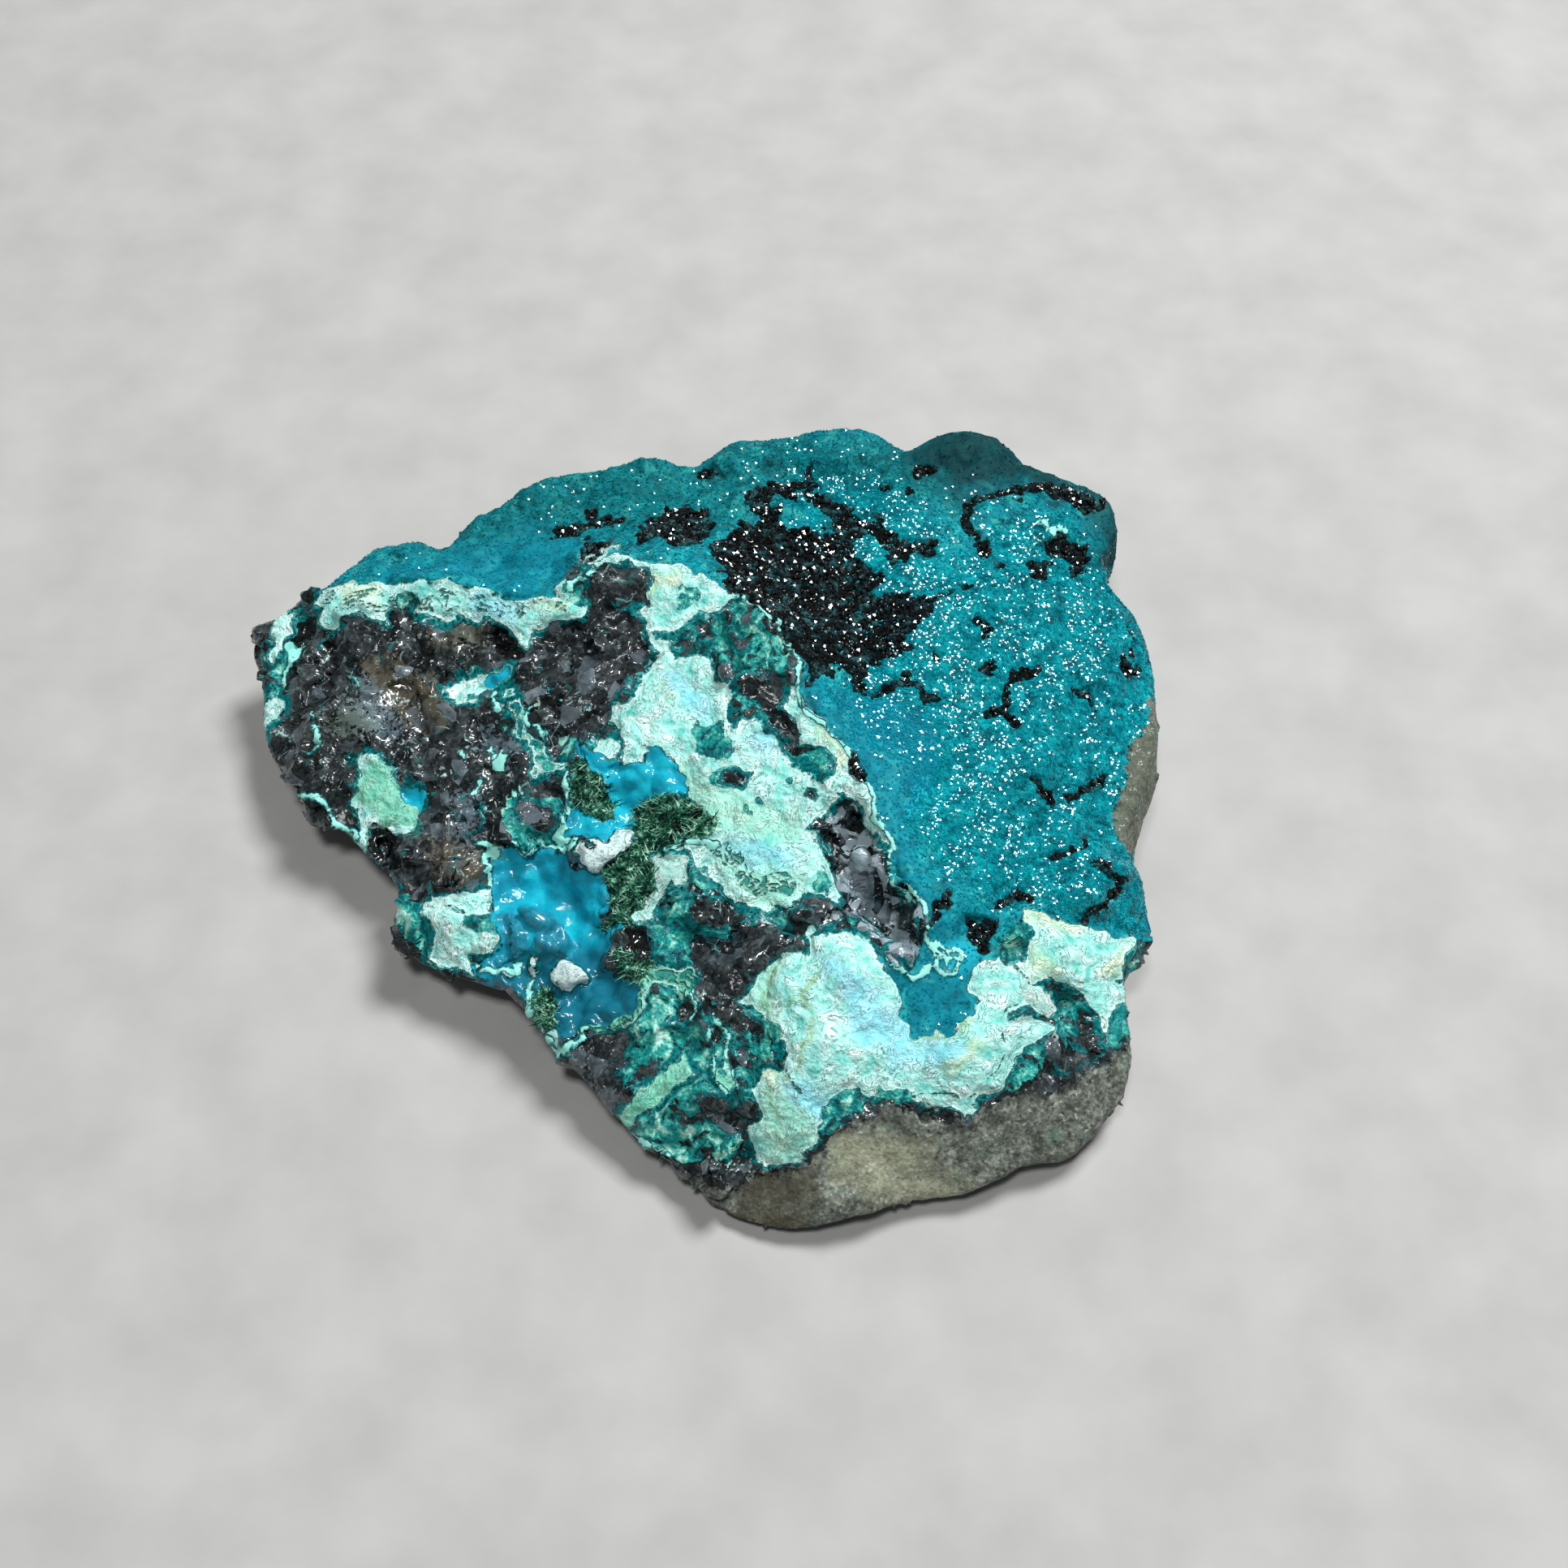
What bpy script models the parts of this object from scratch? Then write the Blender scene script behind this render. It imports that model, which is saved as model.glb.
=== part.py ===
"""A chrysocolla specimen: one loose rock that lies on a flat break.

The right and back half of its top is a gently rolling plateau of botryoidal chrysocolla.
A sharp crest divides it from a rough broken face that falls away to the left and the front,
with a dark hollow under the crest and a small pocket of rounded bosses at its low edge.
Plan sizes and heights are in millimetres; the model is built in metres, +Z up. The finished
rock is centred over the origin, with its flat break on z = 0.
"""

import math

import bmesh
import bpy
import numpy as np
from mathutils import Vector, noise

MM = 0.001
NAME = "chrysocolla_specimen"

# ---------------------------------------------------------------- driving dimensions, mm

SLAB = 20.0             # height of the plain slab before its faces are shaped
VOXEL = 1.1             # spacing of the vertices that are moved into the forms
TRIANGLES = 8600        # what the finished rock keeps

# The widest outline in plan, clockwise from the left tip.
OUTLINE = (
    (-60, 33), (-56, 36), (-50, 37.5), (-47, 42), (-44, 45.5), (-40, 46), (-35, 43.5),
    (-32, 48.5), (-27, 52), (-22, 55.5), (-16, 55.5), (-10, 57), (-2, 56), (3, 60), (9, 60),
    (15, 60.5), (21, 61), (26, 57), (32, 59.5), (38, 60), (41, 57.5), (43, 54.5),
    (48, 52.5), (53, 49), (54, 45), (52, 36.5), (55.5, 30), (57, 21), (56, 12), (53, 2),
    (51, -4), (53, -9), (52, -15), (50, -20), (50.5, -28), (47, -35), (42, -39),
    (38, -40), (33, -42.5), (25, -44), (20, -46), (14, -47), (3, -45), (-4, -39.5),
    (-12.5, -31), (-18.5, -26), (-21.5, -21), (-28, -17.5), (-36, -13), (-37.5, -8),
    (-38.5, -4), (-45, 3), (-52.5, 10.5), (-57.5, 20), (-58.5, 27),
)
CENTRE = (0.0, 5.0)     # every ray from here leaves the outline once

# How high the top stands at places (x, y, z), before the crest, hollows and lumps.
SPOT_HEIGHTS = (
    # back and right edge of the crust
    (-57, 35, 12.5), (-44, 45, 14), (-33, 47, 15.5), (-22, 55, 17), (-10, 57, 18.5),
    (4, 59, 19.5), (18, 60, 20), (34, 60, 21.5), (41, 56, 21), (52, 50, 19), (53, 42, 18),
    (52, 36, 17.5), (56, 26, 16.5), (57, 18, 16), (54, 8, 16), (51, 0, 15.5), (52, -8, 15.5),
    (52, -14, 14.5), (50, -22, 12.5), (50, -29, 9),
    # low edge of the front and of the left
    (47, -34, 6.5), (38, -39, 5.5), (27, -43, 4.5), (15, -47, 3.5), (5, -44, 3.5),
    (-4, -39, 4.5), (-12, -31, 6), (-18, -26, 7), (-22, -21, 7.5), (-30, -17, 8),
    (-36, -12, 8), (-38, -6, 8.5), (-45, 3, 8.5), (-52, 10, 8.5), (-57, 20, 9), (-60, 32, 10.5),
    # along the crest
    (-50, 36, 15.5), (-40, 36, 18), (-30, 33, 19.5), (-20, 30, 22), (-13, 34, 24),
    (-4, 33, 25), (4, 28, 25.5), (10, 20, 25), (13, 12, 24), (18, 2, 23), (22, -7, 21.5),
    (26, -18, 19.5),
    # plateau
    (-20, 45, 18), (-5, 45, 20.5), (8, 50, 21), (20, 40, 21.5), (12, 30, 22.5),
    (30, 30, 21.5), (45, 45, 19.5), (45, 25, 19), (30, 15, 21), (20, 12, 21.5),
    (40, 10, 19.5), (30, 0, 20), (45, -2, 17.5), (35, -12, 18.5), (46, -10, 17),
    # broken face on the left
    (-48, 25, 14.5), (-35, 25, 17), (-20, 20, 19.5), (-50, 14, 11.5), (-38, 12, 13.5),
    (-25, 8, 15.5), (-35, 0, 11.5), (-25, -1, 13.5), (-30, -9, 11.5), (-34, -11, 9.5),
    (-22, -6, 13), (-18, -13, 12), (-13, -20, 11.5), (-25, -17, 10),
    # middle and front
    (-6, 18, 22), (0, 8, 21), (8, 2, 21.5), (12, -4, 20.5), (2, -3, 19.5), (6, -11, 17.5),
    (-2, -20, 14), (8, -20, 16), (16, -22, 17.5), (14, -32, 14.5), (24, -26, 17),
    (27, -33, 14.5), (34, -28, 15), (44, -22, 14.5), (42, -30, 11.5), (3, -30, 12),
    (-6, -28, 10.5), (-7, -33, 8.5), (5, -38, 9), (13, -40, 9.5), (26, -38, 11),
)

# The sharp crest, from the left tip over the top and down to the front.
CREST = (
    (-52, 35.5), (-42, 36), (-36, 35), (-30, 32.5), (-24, 31), (-18, 30), (-14, 34),
    (-8, 34.5), (-2, 32), (4, 27), (9.5, 22), (11, 15), (15, 8), (18.5, 2), (21, -4),
    (23, -10), (25, -15), (26.5, -20),
)
CREST_RISE = 1.6
CREST_WIDTH = 2.2
# What closes the crest into the plateau's outline, well outside the rock.
BEHIND_CREST = ((34, -15), (80, -17), (80, 80), (-80, 80), (-80, 36))
PLATEAU_SEAM = (-1.5, 2.5)

# Hollows in plan.
UNDER_CREST = (
    (14, -1), (17.5, -1.5), (20, -4.5), (21.5, -8), (23, -12), (24.5, -17), (24.5, -21),
    (22, -19), (19, -16), (16, -13), (14.5, -8), (13, -5),
)
POCKET = (
    (-26, -4), (-20, -3.5), (-15, -6), (-11, -11), (-9, -17), (-9, -22), (-14, -24),
    (-20, -21), (-25, -17), (-26.5, -10),
)
CAVE = (
    (-14, 4), (-9, 5), (-4, 0), (-3, -4), (-7, -8), (-10, -15), (-12, -13), (-10, -6), (-12, 0),
)
REAR_TROUGH = ((-33, 38), (-28, 40), (-20, 38), (-16, 36), (-18, 32), (-24, 32.5), (-31, 35))
EDGE_PIT = ((-42, 3), (-39, 3), (-37.5, -2), (-40, -3))
TONGUE = ((25, -18), (33, -16), (31, -23), (29, -30), (24, -30), (22, -24))
CREST_END_PIT = ((31, -15.5), (33.5, -16), (33, -21), (31.5, -20))
FAN_STEP = ((-4, -13), (4, -15), (11, -14), (13, -17), (7, -17.5), (0, -18), (-4, -17))
BLACK_RECESS = (
    (1, 36), (6, 47), (10, 44), (16, 50), (20, 42), (28, 40), (20, 34), (24, 27), (18, 19),
    (11, 20), (6, 28),
)
UNDER_LEFT_RIM = (
    (-52, 31), (-46, 31.5), (-41, 33), (-37, 31), (-30, 29), (-27, 27), (-20, 26.5),
    (-13, 26), (-13, 20), (-24, 17), (-40, 18), (-52, 20),
)
TIP_GROOVE = ((-53, 36), (-51, 34), (-53, 26), (-56, 22), (-55.5, 28), (-55, 33))

# Each hollow's outline, the depth of its floor and the width of its wall.
HOLLOWS = (
    (UNDER_CREST, 4.2, 3.4), (POCKET, 2.6, 3.5), (CAVE, 1.7, 2.2), (REAR_TROUGH, 1.6, 3.0),
    (EDGE_PIT, 3.2, 1.6), (TONGUE, 1.8, 2.5), (CREST_END_PIT, 1.5, 1.2), (FAN_STEP, 1.6, 1.6),
    (BLACK_RECESS, 0.9, 2.2), (UNDER_LEFT_RIM, 1.3, 1.4), (TIP_GROOVE, 1.4, 1.5),
)
WALL_SPAN = (-0.25, 0.75)   # where a wall starts and ends, in wall widths in from the outline

# Raised forms: x, y, length, width, turn in degrees, rise.
BOSSES = (
    # dark blocks of the left face
    (-18, 18, 20, 13, 10, 1.8), (-41, 24, 18, 12, -15, 1.2), (-44, 12, 16, 10, 25, 1.0),
    (-31, 7, 14, 8, -30, 1.0), (-33, -2, 9, 8, 60, 1.4), (-22, 1, 8, 6, 10, 1.2),
    # bosses and knobs of the pocket
    (-20, -12.5, 9.5, 5, -62, 2.8), (-24.5, -12, 5, 3.5, 80, 1.8), (-15.5, -18.5, 5, 4, 20, 2.0),
    (-17.5, -22, 6, 4, 30, 1.6), (-12.5, -22, 6, 5, 0, 1.6), (-23.5, -18.5, 4, 3, 0, 1.6),
    (-14, -4, 7.5, 4.5, 20, 1.8), (-30, -7, 6, 4, 10, 1.2), (-31, -12, 9, 5, -25, 1.4),
    (-19, -19.5, 4, 3, 0, 1.2), (-13, 7, 6, 4, -40, 1.4), (-10, 9, 5, 4, 0, 1.2),
    # lumps of the middle and the front
    (6, -18.5, 11, 5, 15, 1.8), (1, -24, 9, 6, 60, 1.2), (-6, -22, 6, 5, 0, 1.0),
    (13, -27, 20, 13, 70, 1.6), (10, -38, 9, 7, 80, 1.0), (-11, -29, 8, 6, -35, 1.2),
    (0, -33, 9, 6, 40, 1.0), (32, -30, 12, 7, 25, 1.2), (43, -19, 12, 7, -8, 1.2),
    # knobs of the plateau and of its edge
    (33, 56, 14, 8, 5, 2.2), (44, 46, 13, 10, 0, 1.6), (47, -10, 10, 9, 30, 1.8),
    (17, 56, 12, 9, 0, 1.6), (5, 55, 11, 8, 0, 1.2), (-12, 53, 13, 9, 0, 1.0),
    (-24, 49, 12, 9, 30, 1.4), (-42, 42, 10, 7, 10, 1.6), (-57, 32, 7, 5, 60, 1.2),
    (24, 46, 9, 7, 0, 1.2), (-5, 39, 9, 6, 0, 1.0), (40, 33, 14, 11, 20, 1.0),
    (34, 20, 13, 9, -20, 0.9), (50, 22, 9, 12, 0, 1.0), (38, 4, 12, 9, 10, 0.8),
)
BOSS_FULLNESS = 0.75        # 0.5 is a half ellipsoid, 1 a flatter swell

# Rounded lumps of the plateau: size across, rise, and how soon a crown falls to its crease.
BUBBLE_SIZE = 6.5
BUBBLE_RISE = 1.0
BUBBLE_FALL = 1.6

# Broken blocks of the face: size, rise, and the mean that is taken off to keep the level.
CREASE_SIZE = 9.0
CREASE_RISE = 2.2
CREASE_MEAN = 0.42
CREASE_OCTAVES = 3
CREASE_SECTION = 3.7
POCKET_CALM = 0.8           # share of the breaks that the pocket's smooth skin covers

# The flank, by bearing in degrees from +X: how far the base draws in and the side bulges.
FLANK_BEARINGS = (0, 45, 90, 135, 180, 225, 270, 315, 360)
FLANK_DRAW_IN = (7, 5, 5, 6, 9, 9, 6, 5, 7)
FLANK_BULGE = (3.0, 0.8, 0.4, 0.2, 0.0, 0.0, 0.0, 0.6, 3.0)
DRAW_IN_CURVE = 1.8         # more than 1 keeps the drawing in low on the flank
BULGE_REACH = 1.15          # the bulge ends a little under the rim
RIM_ONLY = 4                # power that holds the flank's shift to the outer edge
FLANK_DEPTH = (6.0, 1.0)    # the flank's roughness fades in between these depths
FLANK_LEVELS = (0.02, 0.35)
FLANK_ROUGHNESS = 1.0
FLANK_GRAIN = 9.0
FLANK_SECTIONS = ((0, 0, 0), (31, 0, 0), (0, 47, 0))    # one place in the noise for each axis
BASE_LEVEL = 0.001          # share of the slab's height that counts as the flat base
BREAK_SLACK = 0.03          # how far the thinned-out break may stray from level

CRUST_COLOUR = (0.004, 0.245, 0.275, 1.0)
CRUST_ROUGHNESS = 0.35


# ---------------------------------------------------------------- plan measures

def to_line(points, line):
    """Distance from each plan point to a line of straight segments."""
    nearest = np.full(len(points), np.inf)
    for start, stop in zip(line[:-1], line[1:]):
        run = stop - start
        along = np.clip((points - start) @ run / (run @ run), 0.0, 1.0)
        gap = points - start - along[:, None] * run
        nearest = np.minimum(nearest, np.hypot(gap[:, 0], gap[:, 1]))
    return nearest


def depth_inside(points, outline):
    """Distance inwards from a closed outline: positive inside it, negative outside."""
    closed = np.array(outline + outline[:1], float)
    inside = np.zeros(len(points), bool)
    for (x0, y0), (x1, y1) in zip(closed[:-1], closed[1:]):
        if y0 == y1:
            continue
        spans = (y0 > points[:, 1]) != (y1 > points[:, 1])
        crossing = x0 + (points[:, 1] - y0) * (x1 - x0) / (y1 - y0)
        inside ^= spans & (points[:, 0] < crossing)
    return np.where(inside, 1.0, -1.0) * to_line(points, closed)


def smooth_step(low, high, value):
    share = np.clip((value - low) / (high - low), 0.0, 1.0)
    return share * share * (3.0 - 2.0 * share)


# ---------------------------------------------------------------- forms of the top

def bend(distance):
    """How a thin plate's deflection depends on the distance from a spot."""
    return distance ** 2 * np.log(np.maximum(distance, 1e-9))


def level_terms(plan):
    return np.column_stack((np.ones(len(plan)), plan))


def thin_plate(points, spots):
    """The smoothest surface through the spot heights."""
    spots = np.array(spots, float)
    plan, heights = spots[:, :2], spots[:, 2]
    count = len(spots)
    system = np.zeros((count + 3, count + 3))
    system[:count, :count] = bend(np.linalg.norm(plan[:, None] - plan[None], axis=2))
    system[:count, count:] = level_terms(plan)
    system[count:, :count] = level_terms(plan).T
    weights = np.linalg.solve(system, np.append(heights, np.zeros(3)))
    reach = np.linalg.norm(points[:, None] - plan[None], axis=2)
    return bend(reach) @ weights[:count] + level_terms(points) @ weights[count:]


def bosses(points):
    rise = np.zeros(len(points))
    for x, y, length, width, turn, height in BOSSES:
        cosine, sine = math.cos(math.radians(turn)), math.sin(math.radians(turn))
        east, north = points[:, 0] - x, points[:, 1] - y
        along = (east * cosine + north * sine) / (0.5 * length)
        across = (north * cosine - east * sine) / (0.5 * width)
        rise += height * np.clip(1.0 - along ** 2 - across ** 2, 0.0, None) ** BOSS_FULLNESS
    return rise


def bubbles(points):
    """Rounded lumps packed side by side, 0 in the creases and 1 on the crowns."""
    crowns = np.empty(len(points))
    for number, (x, y) in enumerate(points / BUBBLE_SIZE):
        near = noise.voronoi(Vector((x, y, 0.0)))[0][0]
        crowns[number] = max(0.0, 1.0 - BUBBLE_FALL * near * near)
    return crowns


def breaks(points):
    """Broken rock: rounded blocks that meet in sharp valleys, level on the whole."""
    height = np.empty(len(points))
    for number, (x, y) in enumerate(points / CREASE_SIZE):
        height[number] = noise.turbulence(Vector((x, y, CREASE_SECTION)), CREASE_OCTAVES, True)
    return height - CREASE_MEAN


def top_height(points):
    height = thin_plate(points, SPOT_HEIGHTS)
    height += CREST_RISE * np.exp(-to_line(points, np.array(CREST)) / CREST_WIDTH)
    for outline, depth, wall in HOLLOWS:
        start, end = (share * wall for share in WALL_SPAN)
        height -= depth * smooth_step(start, end, depth_inside(points, outline))
    plateau = smooth_step(*PLATEAU_SEAM, depth_inside(points, CREST + BEHIND_CREST))
    calm = POCKET_CALM * smooth_step(-1.0, 1.0, depth_inside(points, POCKET))
    height += bosses(points)
    height += plateau * BUBBLE_RISE * bubbles(points)
    height += (1.0 - plateau) * (1.0 - calm) * CREASE_RISE * breaks(points)
    return height


# ---------------------------------------------------------------- the rock

def evaluated_mesh(item):
    bpy.context.view_layer.update()
    graph = bpy.context.evaluated_depsgraph_get()
    return bpy.data.meshes.new_from_object(item.evaluated_get(graph))


def weld(mesh):
    cleaned = bmesh.new()
    cleaned.from_mesh(mesh)
    bmesh.ops.remove_doubles(cleaned, verts=cleaned.verts, dist=1e-6)
    bmesh.ops.recalc_face_normals(cleaned, faces=cleaned.faces)
    cleaned.to_mesh(mesh)
    cleaned.free()


def slab():
    """The outline as a flat slab that stands on z = 0."""
    curve = bpy.data.curves.new("outline", "CURVE")
    curve.dimensions = "2D"
    curve.fill_mode = "BOTH"
    curve.extrude = 0.5 * SLAB * MM
    curve.resolution_u = 4
    spline = curve.splines.new("BEZIER")
    spline.bezier_points.add(len(OUTLINE) - 1)
    for point, (x, y) in zip(spline.bezier_points, OUTLINE):
        point.co = (x * MM, y * MM, 0.0)
        point.handle_left_type = point.handle_right_type = "AUTO"
    spline.use_cyclic_u = True
    guide = bpy.data.objects.new("outline", curve)
    bpy.context.scene.collection.objects.link(guide)
    guide.location.z = 0.5 * SLAB * MM
    mesh = evaluated_mesh(guide)
    mesh.transform(guide.matrix_world)
    weld(mesh)
    bpy.data.objects.remove(guide)
    return mesh


def shape(places):
    """Where the slab's vertices, in millimetres, lie in the rock."""
    plan = places[:, :2]
    level = np.clip(places[:, 2] / SLAB, 0.0, 1.0)
    inward = np.maximum(depth_inside(plan, OUTLINE), 0.0)
    outwards = plan - np.array(CENTRE)
    reach = np.maximum(np.linalg.norm(outwards, axis=1), 1.0)
    bearing = np.degrees(np.arctan2(outwards[:, 1], outwards[:, 0])) % 360.0
    draw_in = np.interp(bearing, FLANK_BEARINGS, FLANK_DRAW_IN) * (1.0 - level) ** DRAW_IN_CURVE
    bulge = np.interp(bearing, FLANK_BEARINGS, FLANK_BULGE)
    bulge *= np.sin(math.pi * np.minimum(level * BULGE_REACH, 1.0))
    shift = (bulge - draw_in) * (reach / (reach + inward)) ** RIM_ONLY
    moved = np.column_stack((plan + outwards * (shift / reach)[:, None], level * top_height(plan)))
    flank = smooth_step(*FLANK_LEVELS, level) * smooth_step(*FLANK_DEPTH, inward)
    for number in np.flatnonzero(flank):
        place = Vector(moved[number]) / FLANK_GRAIN
        rough = [noise.noise(place + Vector(shift)) for shift in FLANK_SECTIONS]
        moved[number] += FLANK_ROUGHNESS * flank[number] * np.array(rough)
    moved[level < BASE_LEVEL, 2] = 0.0
    return moved


def settle(mesh):
    """Centre the rock over the origin and level its break on z = 0."""
    places = np.array([vertex.co for vertex in mesh.vertices])
    middle = 0.5 * (places.min(axis=0) + places.max(axis=0))
    places[:, :2] -= middle[:2]
    places[places[:, 2] < BREAK_SLACK * MM, 2] = 0.0
    for vertex, place in zip(mesh.vertices, places):
        vertex.co = place


def crust_material():
    material = bpy.data.materials.new("chrysocolla crust")
    material.use_nodes = True
    surface = material.node_tree.nodes["Principled BSDF"]
    surface.inputs["Base Color"].default_value = CRUST_COLOUR
    surface.inputs["Roughness"].default_value = CRUST_ROUGHNESS
    surface.inputs["Metallic"].default_value = 0.0
    return material


def rock(collection):
    body = bpy.data.objects.new(NAME, slab())
    collection.objects.link(body)
    even = body.modifiers.new("even faces", "REMESH")
    even.mode = "VOXEL"
    even.voxel_size = VOXEL * MM
    shaped = evaluated_mesh(body)
    body.modifiers.clear()
    places = np.array([vertex.co for vertex in shaped.vertices]) / MM
    for vertex, place in zip(shaped.vertices, shape(places)):
        vertex.co = place * MM
    body.data = shaped
    fewer = body.modifiers.new("fewer faces", "DECIMATE")
    fewer.ratio = TRIANGLES / sum(len(face.vertices) - 2 for face in shaped.polygons)
    fewer.use_collapse_triangulate = True
    finished = evaluated_mesh(body)
    body.modifiers.clear()
    settle(finished)
    finished.name = NAME
    finished.materials.append(crust_material())
    body.data = finished


def main():
    for item in list(bpy.data.objects):
        bpy.data.objects.remove(item)
    collection = bpy.data.collections.new("chrysocolla specimen")
    bpy.context.scene.collection.children.link(collection)
    rock(collection)


main()
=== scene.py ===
"""The looks of the chrysocolla specimen, built around its packed rock.

Lengths are in millimetres and are turned to metres by MM where they reach Blender. The minerals'
outlines are drawn in pixels of the camera's 1932 x 1932 frame. Each point of the rock is
put through the same camera when the rock is made, and keeps how far it lies inside each mineral as
attributes of its mesh, so the minerals stay on the rock in every view.
"""

import math
from types import SimpleNamespace

import bpy
import numpy as np
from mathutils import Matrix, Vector, noise


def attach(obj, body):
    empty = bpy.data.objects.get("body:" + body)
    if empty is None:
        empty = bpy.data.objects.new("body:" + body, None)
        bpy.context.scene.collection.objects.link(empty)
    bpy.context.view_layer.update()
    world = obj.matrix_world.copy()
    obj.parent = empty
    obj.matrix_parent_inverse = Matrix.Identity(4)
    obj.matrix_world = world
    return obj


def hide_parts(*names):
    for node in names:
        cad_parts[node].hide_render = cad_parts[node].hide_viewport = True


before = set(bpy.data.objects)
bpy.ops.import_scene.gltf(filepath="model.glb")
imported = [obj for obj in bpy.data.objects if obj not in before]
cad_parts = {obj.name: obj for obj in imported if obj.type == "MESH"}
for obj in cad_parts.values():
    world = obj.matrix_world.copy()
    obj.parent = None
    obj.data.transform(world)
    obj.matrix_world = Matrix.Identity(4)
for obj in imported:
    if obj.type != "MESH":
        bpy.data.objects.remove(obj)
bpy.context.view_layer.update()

MM = 0.001
NODE = "chrysocolla_specimen"
SEED = 29

# ---------------------------------------------------------------- camera and light

FRAME = 1932                        # pixels on each side of the camera's frame
LENS = 50.0
SENSOR = 36.0
CAMERA_ELEVATION = math.radians(55)
CAMERA_DISTANCE = 268.3
CAMERA_TARGET = Vector((11.04, -1.055, 15.0))
TO_CAMERA = np.array((0.0, -math.cos(CAMERA_ELEVATION), math.sin(CAMERA_ELEVATION)))
UP_THE_FRAME = np.array((0.0, math.sin(CAMERA_ELEVATION), math.cos(CAMERA_ELEVATION)))

KEY_TURN = math.radians(46)         # the key light's bearing, from +Y towards +X
KEY_ELEVATION = math.radians(60)
KEY_DISTANCE = 1200.0
KEY_SIZE = 380.0
KEY_WATTS = 14.5
FILL_TURN = math.radians(-165)      # a second light, from high over the camera
FILL_ELEVATION = math.radians(74)
FILL_DISTANCE = 1100.0
FILL_SIZE = 170.0
FILL_WATTS = 4.5
SKY_STRENGTH = 0.08
FLOOR_SIZE = 3000.0

# ---------------------------------------------------------------- outlines, pixels of the frame

PLATEAU = (
    (380, 690), (400, 722), (473, 714), (561, 716), (624, 735), (654, 735), (681, 729),
    (716, 692), (739, 676), (765, 676), (789, 686), (845, 692), (865, 702), (966, 778),
    (983, 812), (993, 845), (1033, 916), (1039, 935), (1090, 1016), (1104, 1077), (1135, 1128),
    (1149, 1143), (1128, 1186), (1112, 1190), (1087, 1172), (1121, 1271), (1134, 1278),
    (1165, 1270), (1190, 1256), (1206, 1233), (1193, 1220), (1195, 1208), (1226, 1185),
    (1228, 1148), (1254, 1126), (1351, 1141), (1399, 1162), (1440, 1160), (1440, 480), (380, 480),
)
SPARKLING = (
    (975, 560), (1100, 600), (1180, 700), (1290, 640), (1420, 740), (1430, 980), (1400, 1140),
    (1290, 1110), (1200, 1100), (1160, 1050), (1110, 950), (1060, 880), (1040, 840), (1070, 760),
    (1000, 640),
)
SMOOTH_CRUST = (
    (985, 820), (1030, 850), (1150, 880), (1150, 960), (1120, 1000), (1130, 1080), (1170, 1120),
    (1200, 1130), (1206, 1180), (1190, 1260), (1134, 1280), (1087, 1172), (1149, 1143),
    (1096, 1052), (1079, 993), (1033, 916),
)
BLUE_SWELLS = (
    (430, 712), (470, 690), (540, 690), (580, 660), (640, 640), (720, 650), (712, 690),
    (681, 729), (624, 735), (580, 720),
)
# Painted shade: the crust and its crystals are darkened over the back lobe and the back top.
SHADED_LOBE = (
    (1110, 560), (1160, 510), (1260, 505), (1300, 560), (1390, 620), (1400, 700), (1360, 700),
    (1340, 625), (1270, 600), (1180, 622),
)
SHADED_TOP = (
    (470, 690), (560, 620), (700, 560), (900, 530), (1110, 530), (1180, 620), (1000, 605),
    (880, 650), (700, 660),
)
LEFT_RIM = (
    (388, 746), (400, 724), (473, 716), (580, 722), (624, 737), (654, 737), (681, 731),
    (699, 715), (706, 724), (700, 735), (725, 745), (720, 755), (676, 773), (647, 792),
    (627, 771), (607, 760), (572, 764), (544, 760), (520, 754), (517, 743), (487, 730),
    (478, 745), (476, 760), (435, 756), (424, 760), (413, 775), (399, 781), (391, 771),
    (396, 755),
)
APEX = (
    (716, 696), (739, 677), (765, 678), (789, 688), (845, 694), (865, 704), (905, 735),
    (893, 750), (855, 759), (808, 786), (785, 760), (790, 748), (800, 740), (798, 715),
    (790, 700), (740, 690), (725, 700),
)
CREST_BAND = (
    (975, 853), (989, 850), (1012, 878), (1033, 916), (1040, 940), (1079, 995), (1090, 1018),
    (1095, 1050), (1062, 992), (1028, 972), (1020, 960), (1033, 945), (1028, 930), (1005, 926),
    (990, 915), (968, 865),
)
CENTRAL_PALE = (
    (795, 782), (806, 800), (803, 812), (793, 820), (752, 898), (765, 912), (818, 944),
    (845, 971), (870, 1020), (866, 1034), (825, 1036), (876, 1078), (908, 1112), (926, 1119),
    (977, 1123), (1002, 1103), (1030, 1103), (1012, 1034), (994, 1029), (992, 1021), (997, 1008),
    (1020, 998), (1030, 983), (1024, 966), (984, 948), (940, 908), (930, 886), (905, 893),
    (893, 884), (905, 861), (898, 848), (878, 832), (871, 808), (825, 808), (805, 785),
)
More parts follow.
